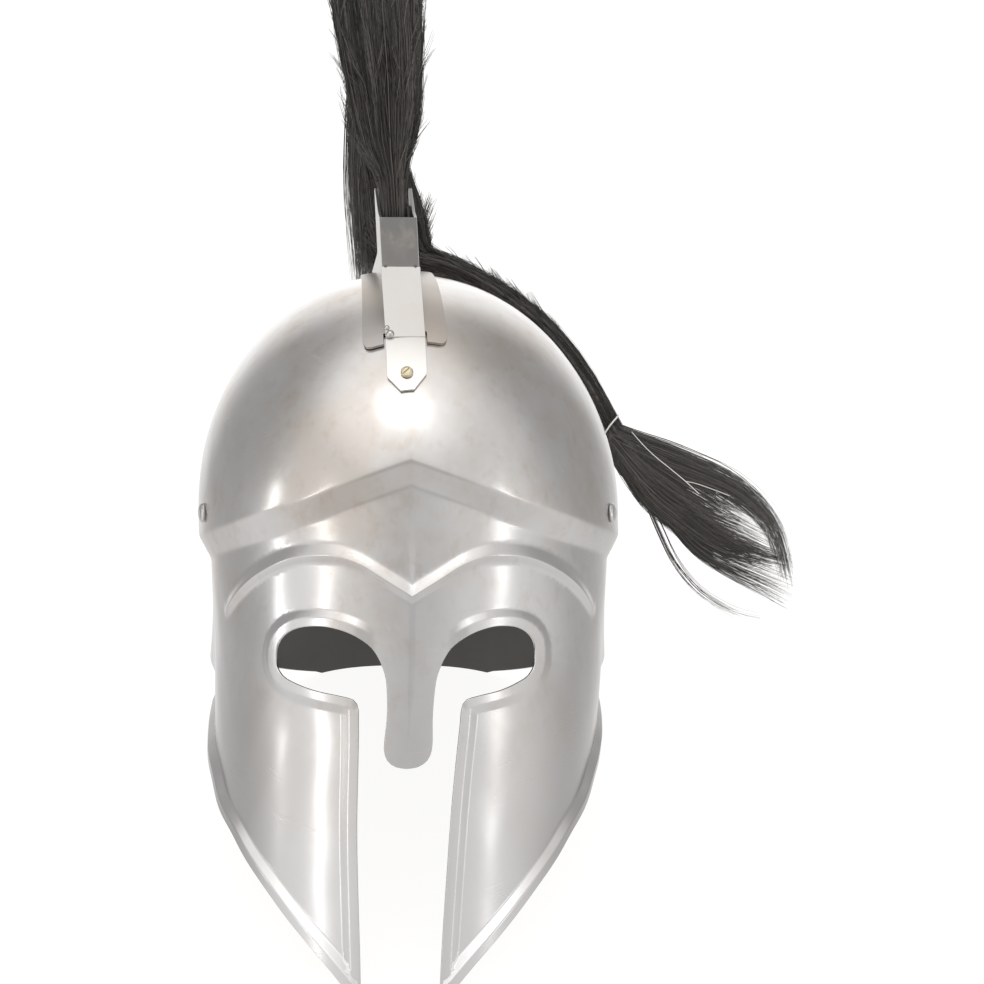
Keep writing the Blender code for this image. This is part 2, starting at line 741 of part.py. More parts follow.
def holder():
    """Sheet-steel socket with side plates, a saddle on the crown, a front strip and its tab."""
    sheet = HOLDER_SHEET
    half = SOCKET_WIDTH / 2
    lift = STAND_OFF + 0.6 * sheet
    tuck = 0.14 * sheet
    pieces = []
    top_y = slope_y(TAB_TOP)
    for side in (1, -1):
        low = [
            (y, seat(side * half, y, 0)[0][2] + lift)
            for y in np.linspace(SADDLE_BACK, top_y + 0.6 * sheet, 10)
        ]
        plate = low + [
            (top_y + 0.6 * sheet, TAB_TOP + 2.2 * sheet),
            (SOCKET_FRONT, SOCKET_FLOOR),
            (SOCKET_FRONT, SOCKET_FRONT_TOP),
            (SOCKET_FRONT + 0.10 * HEAD, SOCKET_FRONT_TOP + 0.035 * HEAD),
            (SOCKET_BACK - 0.04 * HEAD, SOCKET_BACK_TOP),
            (SOCKET_BACK, SOCKET_BACK_TOP - 0.03 * HEAD),
            (SOCKET_BACK, PLATE_BACK),
            (SOCKET_BACK + 0.12 * HEAD, PLATE_END),
            (SADDLE_BACK, low[0][1] + 2 * sheet),
        ]
        across = sorted((side * (half - sheet), side * half))
        pieces.append(prism(plate, across[0], across[1], 0))
    inside_half = half - tuck
    bottom = SOCKET_FLOOR - 0.5 * sheet
    front = [
        (-inside_half, bottom),
        (inside_half, bottom),
        (inside_half, SOCKET_FRONT_TOP - 2 * tuck),
        (-inside_half, SOCKET_FRONT_TOP - 2 * tuck),
    ]
    pieces.append(prism(front, SOCKET_FRONT - tuck, SOCKET_FRONT + sheet, 1))
    back = front[:2] + [(x, SOCKET_BACK_TOP - 0.08 * HEAD) for x, _ in front[2:]]
    pieces.append(prism(back, SOCKET_BACK - sheet, SOCKET_BACK - tuck, 1))
    floor = [
        (-inside_half, SOCKET_FRONT + tuck),
        (inside_half, SOCKET_FRONT + tuck),
        (inside_half, SOCKET_BACK - 1.5 * tuck),
        (-inside_half, SOCKET_BACK - 1.5 * tuck),
    ]
    pieces.append(prism(floor, SOCKET_FLOOR - 0.33 * sheet, SOCKET_FLOOR + 0.67 * sheet, 2))
    strip = [
        (SOCKET_FRONT - 1.5 * tuck, SOCKET_FLOOR + 0.4 * sheet),
        (SOCKET_FRONT + 0.8 * sheet, SOCKET_FLOOR + 0.2 * sheet),
        (top_y + 2.3 * sheet, TAB_TOP + 3.5 * sheet),
        (top_y - 0.3 * sheet, TAB_TOP + 0.4 * sheet),
        (top_y - 1.1 * sheet, TAB_TOP + 0.9 * sheet),
    ]
    pieces.append(prism(strip, -STRIP_HALF, STRIP_HALF, 0))
    pieces = [(in_holder_frame(points), faces) for points, faces in pieces]
    tab_from = TAB_TOP + 1.2 * sheet
    join_y = slope_y(tab_from) + 0.5 * sheet
    front_y = slope_y(SADDLE_FRONT)
    depths = [front_y, (front_y + join_y) / 2, join_y] + list(np.linspace(join_y + 0.3 * sheet, SADDLE_BACK, 11))
    for side in (1, -1):
        lines = []
        for y in depths:
            near = STRIP_HALF + 0.4 * sheet if y <= join_y else half - 0.7 * sheet
            far = SADDLE_HALF + (SADDLE_BACK_HALF - SADDLE_HALF) * (y - front_y) / (SADDLE_BACK - front_y)
            lines.append((y, *sorted((side * near, side * far))))
        pieces.append(slab(lines, 3, STAND_OFF, STAND_OFF + sheet))
    levels = np.linspace(TAB_END, tab_from, 6)
    lines = [(slope_y(level), -STRIP_HALF + tuck, STRIP_HALF - tuck) for level in levels]
    pieces.append(slab(lines, 5, STAND_OFF, STAND_OFF + sheet))
    return combined(pieces)


def turned(profile, sides):
    """Closed body turned about +Z from radius and height pairs that start and end on the axis."""
    points, faces = [(0, 0, profile[0][1])], []
    for radius, height in profile[1:-1]:
        for k in range(sides):
            a = 2 * math.pi * k / sides
            points.append((radius * math.cos(a), radius * math.sin(a), height))
    points.append((0, 0, profile[-1][1]))
    last = len(points) - 1
    for k in range(sides):
        faces.append((0, 1 + (k + 1) % sides, 1 + k))
        faces.append((last, last - sides + k, last - sides + (k + 1) % sides))
    for ring in range(len(profile) - 3):
        for k in range(sides):
            a = 1 + ring * sides + k
            b = 1 + ring * sides + (k + 1) % sides
            faces.append((a, b, b + sides, a + sides))
    return np.array(points), faces


def stood(points, at, outward, turn=0.0):
    """Body with its +Z turned to point outward, moved to a place."""
    w = np.array(outward, float)
    w /= np.linalg.norm(w)
    u = np.cross((0, 0, 1), w)
    u /= np.linalg.norm(u)
    v = np.cross(w, u)
    c, s = math.cos(turn), math.sin(turn)
    x = points[:, 0] * c - points[:, 1] * s
    y = points[:, 0] * s + points[:, 1] * c
    return np.asarray(at) + x[:, None] * u + y[:, None] * v + points[:, 2:3] * w


def crown_spot(theta, level, off):
    """Place on the crown at an angle and level in metres, stood off along the outward direction."""
    eps = 1e-4

    def at(t, z):
        r = HEAD * float(base_radius(np.array([t]), np.array([z / HEAD]))[0])
        return np.array([r * math.sin(t), -r * math.cos(t), z])

    across = np.cross(at(theta + eps, level) - at(theta, level), at(theta, level + eps) - at(theta, level))
    outward = across / np.linalg.norm(across)
    return at(theta, level) + off * outward, outward


def screw():
    head = turned(
        ((0, 0), (SCREW_RADIUS, 0), (SCREW_RADIUS, 0.45 * SCREW_HEIGHT),
         (0.86 * SCREW_RADIUS, 0.80 * SCREW_HEIGHT), (0.5 * SCREW_RADIUS, SCREW_HEIGHT), (0, SCREW_HEIGHT)),
        16,
    )
    w = SLOT_WIDTH / 2
    reach = 1.3 * SCREW_RADIUS
    slot = prism([(-reach, -w), (reach, -w), (reach, w), (-reach, w)],
                 SCREW_HEIGHT - SLOT_DEPTH, SCREW_HEIGHT + 0.002, 2)
    points, faces = combined([head, slot], "DIFFERENCE")
    at, outward = seat(0, slope_y(SCREW_LEVEL), 2 * STAND_OFF + HOLDER_SHEET)
    return stood(points, at, outward, math.radians(45)), faces


def rivet(side):
    points, faces = turned(
        ((0, 0), (RIVET_RADIUS, 0), (RIVET_RADIUS, 0.25 * RIVET_HEIGHT),
         (0.85 * RIVET_RADIUS, 0.70 * RIVET_HEIGHT), (0.5 * RIVET_RADIUS, RIVET_HEIGHT), (0, RIVET_HEIGHT)),
        16,
    )
    at, outward = crown_spot(RIVET_ANGLES[side], RIVET_LEVEL, STAND_OFF + 0.0002)
    placed = stood(points, at, outward)
    if side < 0:
        placed = placed * (-1, 1, 1)
        faces = [tuple(reversed(f)) for f in faces]
    return leaned(placed), faces


def path_frames(points):
    """Even directions along a path, with one side kept close to the X axis."""
    along = np.gradient(points, axis=0)
    along /= np.linalg.norm(along, axis=1)[:, None]
    side = np.array([1.0, 0, 0])
    frames = []
    for t in along:
        side = side - (side @ t) * t
        side /= np.linalg.norm(side)
        frames.append((side.copy(), np.cross(t, side)))
    return along, frames


def plume_line(step):
    """Sections along the plume in metres, with one at each end of the tied place."""
    before = through(PLUME_PATH[: TIE_FROM + 1], step)
    after = through(PLUME_PATH[TIE_FROM + 1 :], step)
    return np.concatenate([before, after]) * HEAD


def hair_tube(path, sides, lobes, depth):
    """Closed tube of hair whose surface is ridged into locks that twist slowly along it."""
    _, frames = path_frames(path[:, :3])
    points, faces = [], []
    count = len(path)
    for i in range(count):
        u, v = frames[i]
        share = i / (count - 1)
        for k in range(sides):
            a = 2 * math.pi * k / sides
            ridge = 1 + depth * math.cos(lobes * a + 5 * share)
            points.append(path[i, :3] + ridge * (path[i, 3] * math.cos(a) * u + path[i, 4] * math.sin(a) * v))
    start, end = len(points), len(points) + 1
    points.append(path[0, :3])
    points.append(path[-1, :3])
    for i in range(count - 1):
        for k in range(sides):
            a = i * sides + k
            b = i * sides + (k + 1) % sides
            faces.append((a, b, b + sides))
            faces.append((a, b + sides, a + sides))
    for k in range(sides):
        faces.append((start, (k + 1) % sides, k))
        faces.append((end, (count - 1) * sides + k, (count - 1) * sides + (k + 1) % sides))
    return np.array(points), np.array(faces)


def clear_of_crown(points, gap):
    """Hair that would pass through the crown lies on it instead, a gap away."""
    shift = HEAD * curve_at(LEAN, points[:, 2] / HEAD)
    x, y = points[:, 0] - shift, points[:, 1]
    theta = np.arctan2(np.abs(x), -y)
    m = crown_power(theta)
    lift = np.maximum(points[:, 2] / HEAD - CROWN_WIDEST, 0) / CROWN_RISE
    size = ((np.hypot(x, y) / HEAD / crown_reach(theta)) ** m + lift**m) ** (1 / m)
    grow = np.maximum((1 + gap) / np.maximum(size, 0.3), 1)[:, None]
    middle = np.array([0, 0, HEAD * CROWN_WIDEST])
    moved = middle + (np.stack([x, y, points[:, 2]], axis=1) - middle) * grow
    return moved + np.stack([shift, 0 * shift, 0 * shift], axis=1)


def plume():
    body, faces = hair_tube(plume_line(PLUME_STEP), PLUME_SIDES, LOCKS, LOCK_DEPTH)
    pieces = [(clear_of_crown(body, PLUME_GAP), faces)]
    for start, end, radius in TUFT_LOCKS:
        a, b = np.array(start), np.array(end)
        middle = a + 0.55 * (b - a) + (0, 0, 0.03)
        rows = [
            (*a, 0.8 * radius, 0.8 * radius),
            (*middle, radius, 0.8 * radius),
            (*b, LOCK_END, LOCK_END),
        ]
        pieces.append(hair_tube(through(rows, LOCK_STEP) * HEAD, 8, 3, 0.6 * LOCK_DEPTH))
    return combined(pieces)


def tie():
    """Wound thread as one ribbed ring round the narrowest place of the hair."""
    first, last = (HEAD * np.array(PLUME_PATH[TIE_FROM + k]) for k in (0, 1))
    middle = (first[:3] + last[:3]) / 2
    t = (last[:3] - first[:3]) / np.linalg.norm(last[:3] - first[:3])
    u = np.cross(t, (0, 1, 0))
    u /= np.linalg.norm(u)
    v = np.cross(t, u)
    reach = TIE_REACH
    inner = (1 + LOCK_DEPTH) * first[3] + STAND_OFF
    turns = 2
    outline = [(inner, -reach), (inner, reach)]
    for k in range(turns * 2, -1, -1):
        out = THREAD if k % 2 else 0.55 * THREAD
        outline.append((inner + out, -reach + 2 * reach * k / (turns * 2)))
    sides = 20
    points, faces = [], []
    for k in range(sides):
        a = 2 * math.pi * k / sides
        out = math.cos(a) * u + math.sin(a) * v
        for radius, shift in outline:
            points.append(middle + radius * out + shift * t)
    count = len(outline)
    for k in range(sides):
        for i in range(count):
            a = k * count + i
            b = k * count + (i + 1) % count
            c = ((k + 1) % sides) * count + i
            d = ((k + 1) % sides) * count + (i + 1) % count
            faces.append((a, b, d, c))
    return np.array(points), faces


def outward_faces(points, faces):
    """The same faces, turned over if the body they close is inside out."""
    volume = 0.0
    for face in faces:
        for i in range(1, len(face) - 1):
            a, b, c = points[face[0]], points[face[i]], points[face[i + 1]]
            volume += float(np.dot(a, np.cross(b, c)))
    return [tuple(reversed(face)) for face in faces] if volume < 0 else faces


for old in list(bpy.data.objects):
    bpy.data.objects.remove(old, do_unlink=True)

sheet_points, sheet_faces = shell_sheet(EDGE_STEP, GRID_STEP, DOME_SEGMENTS, DOME_RINGS)
shell_points, shell_faces = thickened(sheet_points, sheet_faces, WALL)
bodies = {
    "shell": (flattened(shell_points), shell_faces),
    "plume_holder": holder(),
    "holder_screw": screw(),
    "strap_rivet_right": rivet(1),
    "strap_rivet_left": rivet(-1),
    "plume": plume(),
    "plume_tie": tie(),
}
everything = np.concatenate([posed(points) for points, _ in bodies.values()])
low, high = everything.min(axis=0), everything.max(axis=0)
PLACE[:] = [-(low[0] + high[0]) / 2, -(low[1] + high[1]) / 2, -low[2]]
print("place", [round(v, 6) for v in PLACE])

for name, (points, faces) in bodies.items():
    obj = mesh_object(name, posed(points), outward_faces(points, faces), name != "plume_holder")
    obj.data.materials.append(material(name))
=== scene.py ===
"""Steel helmet of the closed Greek kind with a tied black horsehair plume, on a pale studio floor."""

import math

import bpy
import numpy as np
from mathutils import Matrix, Vector
from mathutils.geometry import delaunay_2d_cdt


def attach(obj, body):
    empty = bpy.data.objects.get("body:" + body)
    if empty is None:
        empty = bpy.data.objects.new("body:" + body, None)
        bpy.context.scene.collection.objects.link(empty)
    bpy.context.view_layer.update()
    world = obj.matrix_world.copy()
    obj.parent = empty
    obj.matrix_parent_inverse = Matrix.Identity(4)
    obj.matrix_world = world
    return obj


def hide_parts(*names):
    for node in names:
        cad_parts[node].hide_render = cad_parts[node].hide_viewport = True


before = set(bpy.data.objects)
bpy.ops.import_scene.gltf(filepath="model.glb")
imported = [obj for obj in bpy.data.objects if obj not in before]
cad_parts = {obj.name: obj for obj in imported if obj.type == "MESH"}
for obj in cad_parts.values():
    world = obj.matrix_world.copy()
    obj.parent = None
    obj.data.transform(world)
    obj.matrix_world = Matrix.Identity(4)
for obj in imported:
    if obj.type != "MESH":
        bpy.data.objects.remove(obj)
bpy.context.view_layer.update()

# Place of the upright helmet in the model: leaned back on its cheek tips and neck rim
REST_TILT = math.radians(28.5)
PLACE = np.array([-0.048618, 0.017078, 0.150406])
HEAD = 0.100
WALL = 0.0013
ROUND = 1.05

# Crown
CROWN_HALF_WIDTH = 1.022
CROWN_FRONT = 1.24
CROWN_BACK = 1.20
CROWN_RISE = 1.14
CROWN_WIDEST = -0.08
CROWN_PLAN_POWER = 2.1
FACE_PLAN_POWER = 2.15
STEP_DROP = 0.11
DOME_FOOT = 0.20

# Neck guard
NECK_FLARE = 0.393
NECK_START = -0.32
NECK_END = -0.93
NECK_FROM = math.radians(79)
NECK_FULL = math.radians(172)
NECK_NARROWING = math.radians(28)

# Raised edges and brow ridge
EDGE_FLAT = 0.038
EDGE_SLOPE = 0.036
FACE_EDGE_RISE = 0.018
CHEEK_EDGE_RISE = 0.034
BROW_RISE = 0.022
BROW_ABOVE = 0.055
BROW_BELOW = 0.030

# Floor in the upright frame
FLOOR_Y = -1.13
FLOOR_Z = -2.325
FOOT_REACH = 0.0011

# Sideways cut of the eyes
EYE_SHIFT = -0.028
EYE_MIDDLE = (0.55, -0.76)
EYE_SPREAD = (0.20, 0.22)

# Fineness of the sheet, in shares of the head
EDGE_STEP = 0.025
GRID_STEP = 0.017
DOME_SEGMENTS = 120
DOME_RINGS = 44
RIM_RINGS = 4
HAMMERED = 0.0010

SECTIONS = (
    (0.20, 0.975, 1.175, 1.140),
    (-0.30, 0.965, 1.165, 1.110),
    (-0.60, 0.950, 1.152, 1.080),
    (-1.00, 0.935, 1.142, 1.070),
    (-1.50, 0.915, 1.132, 1.070),
    (-2.50, 0.880, 1.120, 1.070),
)
LEAN = (
    (-2.34, -0.036),
    (-1.50, -0.018),
    (-1.00, 0.010),
    (-0.75, 0.018),
    (-0.30, 0.020),
    (0.05, 0.014),
    (0.30, 0.009),
    (0.75, -0.001),
    (1.20, -0.006),
)
STEP_LINE = ((0, 0.140), (12, 0.052), (24, -0.036), (41, -0.120), (60, -0.178), (90, -0.212), (180, -0.212))
BROW_LINE = (
    (0.0, -0.475),
    (5.5, -0.405),
    (12.0, -0.325),
    (19.6, -0.288),
    (28.0, -0.302),
    (38.0, -0.365),
    (48.0, -0.455),
    (57.5, -0.560),
)
OPENING = (
    (0.000, -1.254),
    (0.050, -1.246),
    (0.090, -1.216),
    (0.107, -1.152),
    (0.101, -1.020),
    (0.103, -0.940),
    (0.115, -0.835),
    (0.129, -0.795),
    (0.150, -0.750),
    (0.184, -0.701),
    (0.250, -0.652),
    (0.324, -0.622),
    (0.410, -0.608),
    (0.505, -0.620),
    (0.556, -0.652),
    (0.584, -0.695),
    (0.590, -0.750),
    (0.588, -0.796),
    (0.560, -0.845),
    (0.505, -0.877),
    (0.422, -0.908),
    (0.300, -0.934),
    (0.254, -0.948),
    (0.236, -0.975),
    (0.232, -1.030),
    (0.207, -1.660),
    (0.184, -2.170),
    (0.180, -2.340),
)
CHEEK_EDGE = (
    (9.2, -2.345),
    (11.2, -2.290),
    (16.4, -2.170),
    (29.0, -1.930),
    (35.5, -1.815),
    (43.0, -1.700),
    (50.1, -1.592),
    (60.0, -1.482),
    (68.2, -1.366),
    (80.0, -1.260),
    (90.0, -1.170),
    (100.0, -1.075),
    (107.0, -0.995),
    (111.0, -0.930),
    (113.0, -0.860),
    (116.0, -0.815),
)
NECK_EDGE = (
    (116.0, -0.815),
    (121.0, -0.822),
    (130.0, -0.850),
    (142.0, -0.890),
    (155.0, -0.936),
    (166.0, -0.956),
    (180.0, -0.962),
)

# Plume holder
HOLDER_X = -0.0017
HOLDER_AXIS_Y = -0.080
HOLDER_LEAN_FROM = 0.085
HOLDER_SKEW = math.radians(2.8)
HOLDER_LEAN = 0.05
SHEET = 0.0015
SOCKET_WIDTH = 0.0176
SOCKET_FRONT = -0.075
SOCKET_BACK = -0.045
SOCKET_FLOOR = 0.1044
SOCKET_FRONT_TOP = 0.1280
SOCKET_BACK_TOP = 0.1440
PLATE_BACK = 0.1140
PLATE_END = 0.1125
SADDLE_FRONT = 0.0679
SADDLE_HALF = 0.0193
SADDLE_BACK_HALF = 0.0155
SADDLE_BACK = 0.010
STRIP_HALF = 0.0092
TAB_TOP = 0.0700
TAB_END = 0.0455
TAB_CUT_HEIGHT = 0.0075
TAB_CUT_WIDTH = 0.0060
WING_CORNER = 0.0038
STAND_OFF = 0.0003
BEAD_PROFILE = ((0, -1), (1, -0.3), (0.8, 0.3), (0.4, 0.6), (0, 0.7))

# Plume: middle, half width and half depth of the hair in shares of the head
PLUME_PATH = (
    (-0.046, -0.600, 1.065, 0.053, 0.108),
    (-0.057, -0.600, 1.300, 0.054, 0.110),
    (-0.066, -0.600, 1.470, 0.058, 0.112),
    (-0.088, -0.592, 1.620, 0.120, 0.150),
    (-0.100, -0.580, 1.850, 0.160, 0.165),
    (-0.140, -0.510, 2.320, 0.205, 0.185),
    (-0.145, -0.280, 2.720, 0.205, 0.190),
    (-0.130, 0.080, 2.870, 0.190, 0.180),
    (-0.115, 0.380, 2.640, 0.185, 0.175),
    (-0.110, 0.520, 2.200, 0.160, 0.165),
    (-0.128, 0.535, 1.950, 0.145, 0.160),
    (-0.135, 0.540, 1.740, 0.132, 0.155),
    (-0.095, 0.530, 1.560, 0.135, 0.150),
    (-0.065, 0.505, 1.410, 0.160, 0.150),
    (-0.055, 0.500, 1.320, 0.175, 0.150),
    (0.060, 0.470, 1.130, 0.120, 0.160),
    (0.230, 0.440, 1.085, 0.095, 0.160),
    (0.480, 0.390, 0.950, 0.088, 0.150),
    (0.700, 0.370, 0.775, 0.085, 0.120),
    (0.890, 0.365, 0.540, 0.076, 0.095),
    (1.005, 0.363, 0.350, 0.066, 0.066),
    (1.043, 0.355, 0.280, 0.066, 0.066),
    (1.140, 0.365, 0.180, 0.120, 0.110),
    (1.270, 0.400, 0.070, 0.200, 0.150),
    (1.490, 0.440, -0.060, 0.245, 0.170),
)
TIE_FROM = 20
PLUME_GAP = 0.010
LOCKS = 7

# Tuft below the tie, in bundles: middle, half width and half depth in shares of the head
UPPER_BUNDLE = (
    (1.043, 0.355, 0.290, 0.056, 0.060),
    (1.150, 0.370, 0.236, 0.070, 0.100),
    (1.350, 0.390, 0.152, 0.084, 0.110),
    (1.491, 0.410, 0.098, 0.078, 0.100),
    (1.602, 0.430, 0.055, 0.070, 0.085),
    (1.710, 0.440, -0.010, 0.060, 0.070),
    (1.800, 0.445, -0.086, 0.050, 0.060),
    (1.868, 0.450, -0.176, 0.042, 0.050),
    (1.908, 0.455, -0.280, 0.034, 0.045),
    (1.935, 0.460, -0.385, 0.028, 0.040),
    (1.950, 0.465, -0.470, 0.022, 0.035),
)
MIDDLE_BUNDLE = (
    (1.043, 0.355, 0.275, 0.045, 0.060),
    (1.189, 0.370, 0.111, 0.095, 0.120),
    (1.330, 0.390, 0.000, 0.125, 0.130),
    (1.441, 0.405, -0.066, 0.131, 0.120),
    (1.552, 0.420, -0.121, 0.115, 0.100),
    (1.668, 0.430, -0.171, 0.095, 0.080),
    (1.769, 0.440, -0.217, 0.085, 0.070),
    (1.869, 0.450, -0.267, 0.075, 0.060),
)
LOWER_BUNDLE = (
    (1.043, 0.355, 0.270, 0.045, 0.060),
    (1.150, 0.370, 0.135, 0.066, 0.110),
    (1.262, 0.380, -0.002, 0.088, 0.120),
    (1.374, 0.390, -0.088, 0.090, 0.120),
    (1.490, 0.405, -0.178, 0.080, 0.105),
    (1.592, 0.420, -0.244, 0.066, 0.085),
    (1.718, 0.430, -0.298, 0.052, 0.070),
    (1.834, 0.440, -0.336, 0.042, 0.060),
    (1.955, 0.450, -0.362, 0.034, 0.050),
)
LOW_FAN = (
    (1.280, 0.380, -0.060, 0.030, 0.050),
    (1.385, 0.390, -0.165, 0.045, 0.060),
    (1.491, 0.400, -0.262, 0.058, 0.070),
    (1.643, 0.410, -0.345, 0.075, 0.080),
    (1.819, 0.420, -0.420, 0.088, 0.090),
    (1.965, 0.430, -0.480, 0.095, 0.090),
)
WISP = (
    (1.215, 0.370, -0.030, 0.012, 0.030),
    (1.290, 0.365, -0.200, 0.016, 0.030),
    (1.350, 0.360, -0.328, 0.014, 0.025),
    (1.411, 0.360, -0.418, 0.010, 0.020),
    (1.481, 0.360, -0.494, 0.006, 0.012),
    (1.567, 0.360, -0.554, 0.004, 0.008),
    (1.668, 0.365, -0.606, 0.003, 0.006),
    (1.794, 0.370, -0.636, 0.003, 0.006),
)
REAR_LOCK = (
    (-0.165, 0.44, 2.500, 0.080, 0.100),
    (-0.200, 0.49, 2.000, 0.080, 0.090),
    (-0.215, 0.51, 1.700, 0.074, 0.090),
    (-0.224, 0.51, 1.560, 0.062, 0.085),
    (-0.215, 0.51, 1.370, 0.055, 0.080),
    (-0.203, 0.51, 1.220, 0.048, 0.070),
    (-0.195, 0.50, 1.040, 0.040, 0.060),
)
BRUSH = (
    (0.000, 0.47, 1.240, 0.070, 0.090),
    (0.035, 0.49, 1.320, 0.075, 0.080),
    (0.068, 0.50, 1.410, 0.075, 0.070),
    (0.095, 0.50, 1.510, 0.072, 0.060),
)
LOOSE_THREAD = (
    (1.135, 0.275, 0.300),
    (1.185, 0.245, 0.240),
    (1.240, 0.235, 0.185),
    (1.320, 0.235, 0.120),
    (1.405, 0.240, 0.050),
    (1.470, 0.245, -0.010),
)
THREAD_BRANCH = (
    (1.400, 0.242, 0.054),
    (1.455, 0.245, 0.042),
    (1.535, 0.255, 0.015),
    (1.630, 0.285, -0.020),
)

# Surroundings: azimuth, elevation, outer and inner reach in degrees, strength
AIM = np.array([-0.05, -0.03, 0.16])
WORLD_BASE = 0.80
WORLD_LOBES = (
    (-37, 80, 48, 4, 0.65),
    (-50, 30, 50, 5, 0.22),
    (50, 30, 50, 5, 0.14),
    (-130, 10, 55, 15, -0.34),
    (130, 10, 55, 15, -0.34),
    (0, 10, 34, 5, -0.16),
    (180, 0, 42, 10, 0.75),
    (-70, -22, 42, 10, 0.15),
    (70, -22, 42, 10, 0.10),
)

# Camera: distance, turn and lens that give the photograph's view of the helmet
CAMERA_AIM = np.array([0.0426, 0.0, 0.0])
CAMERA_DISTANCE = 1.55
CAMERA_YAW = math.radians(2.2)
CAMERA_LENS = 115.7


def curve_at(rows, at):
    """Smooth value of column 1 against column 0."""
    xs = np.array([row[0] for row in rows], float)
    ys = np.array([row[1] for row in rows], float)
    steps = np.diff(ys) / np.diff(xs)
    slopes = np.concatenate([[steps[0]], (steps[1:] + steps[:-1]) / 2, [steps[-1]]])
    slopes[1:-1][steps[1:] * steps[:-1] <= 0] = 0
    at = np.clip(at, xs[0], xs[-1])
    i = np.clip(np.searchsorted(xs, at, side="right") - 1, 0, len(xs) - 2)
    h = xs[i + 1] - xs[i]
    t = (at - xs[i]) / h
    a = (1 + 2 * t) * (1 - t) ** 2 * ys[i] + t * (1 - t) ** 2 * h * slopes[i]
    b = t * t * (3 - 2 * t) * ys[i + 1] + t * t * (t - 1) * h * slopes[i + 1]
    return a + b


def through(points, step):
    """Even points along a smooth line through the given ones."""
    p = np.array(points, float)
    lengths = np.concatenate([[0], np.cumsum(np.linalg.norm(np.diff(p, axis=0), axis=1))])
    fine = np.linspace(0, lengths[-1], 40 * len(p))
    dense = np.stack([curve_at(list(zip(lengths, p[:, k])), fine) for k in range(p.shape[1])], axis=1)
    run = np.concatenate([[0], np.cumsum(np.linalg.norm(np.diff(dense, axis=0), axis=1))])
    count = max(2, int(round(run[-1] / step)) + 1)
    even = np.linspace(0, run[-1], count)
    return np.stack([np.interp(even, run, dense[:, k]) for k in range(p.shape[1])], axis=1)


def ease(t):
    t = np.clip(t, 0, 1)
    return t * t * (3 - 2 * t)


def soft_over(x, r):
    """The larger of x and nothing, rounded over a width r."""
    return np.where(x < -r, 0, np.where(x > r, x, (x + r) ** 2 / (4 * r)))


def soft_ramp(t, r):
    """Ramp from 0 to 1 with rounded ends."""
    return soft_over(t, r) - soft_over(t - 1, r)


def plan_radius(theta, half_width, front, back, power):
    s = np.abs(np.sin(theta)) / half_width
    c = np.cos(theta)
    c = np.where(c > 0, c / front, -c / back)
    return (s**power + c**power) ** (-1 / power)


def crown_power(theta):
    return 1.98 + 0.22 * np.clip(np.cos(theta), 0, 1) + 0.10 * np.clip(-np.cos(theta), 0, 1)


def crown_reach(theta):
    return plan_radius(theta, CROWN_HALF_WIDTH, CROWN_FRONT, CROWN_BACK, CROWN_PLAN_POWER)


def crown_radius(theta, level):
    m = crown_power(theta)
    t = np.clip((level - CROWN_WIDEST) / CROWN_RISE, 0, 1)
    return crown_reach(theta) * (1 - t**m) ** (1 / m)


def crown_level(x, y):
    """Height of the crown over a point of the plan, in metres."""
    theta = np.arctan2(x, -y)
    m = crown_power(theta)
    t = np.clip(np.hypot(x, y) / HEAD / crown_reach(theta), 0, 1)
    return HEAD * (CROWN_WIDEST + CROWN_RISE * (1 - t**m) ** (1 / m))


def face_radius(theta, level):
    rising_rows = SECTIONS[::-1]
    half, front, back = (curve_at([(row[0], row[k]) for row in rising_rows], level) for k in (1, 2, 3))
    start = NECK_FROM + NECK_NARROWING * ease((-0.80 - level) / 0.22)
    flare = ease((theta - start) / (NECK_FULL - start))
    drop = np.clip((NECK_START - level) / (NECK_START - NECK_END), 0, 1.1)
    return plan_radius(theta, half, front, back, FACE_PLAN_POWER) + NECK_FLARE * flare * drop


def base_radius(theta, level):
    """Radius of the form without its raised edges, with the step's creases a little rounded."""
    theta = np.abs(theta)
    upper = curve_at(STEP_LINE, np.degrees(theta))
    k = soft_ramp((level - upper + STEP_DROP) / STEP_DROP, 0.13)
    crown = crown_radius(theta, upper + soft_over(level - upper, 0.012))
    face = face_radius(theta, level)
    return face + k * (crown - face)


def angle_of(x, level):
    low = np.zeros_like(x)
    high = np.full_like(x, math.radians(82))
    for _ in range(40):
        middle = (low + high) / 2
        inner = base_radius(middle, level) * np.sin(middle) < x
        low = np.where(inner, middle, low)
        high = np.where(inner, high, middle)
    return (low + high) / 2


def above_floor(edge, rise):
    """Lower edges are cut where they would reach past the floor."""
    theta = edge[:, 0] / ROUND

    def height(level):
        y = -(base_radius(theta, level) + rise) * np.cos(theta)
        return level - FLOOR_Z - (y - FLOOR_Y) * math.tan(REST_TILT)

    low, high = edge[:, 1].copy(), edge[:, 1] + 0.3
    clear = height(low) >= 0
    for _ in range(30):
        middle = (low + high) / 2
        under = height(middle) < 0
        low = np.where(under, middle, low)
        high = np.where(under, high, middle)
    edge[:, 1] = np.where(clear, edge[:, 1], high)
    return edge


def flattened(points):
    """Wall ends lie level on the floor."""
    up = np.array([0, -math.sin(REST_TILT), math.cos(REST_TILT)])
    height = (points - HEAD * np.array([0, FLOOR_Y, FLOOR_Z])) @ up
    low = height < FOOT_REACH
    points[low] -= height[low, None] * up
    return points


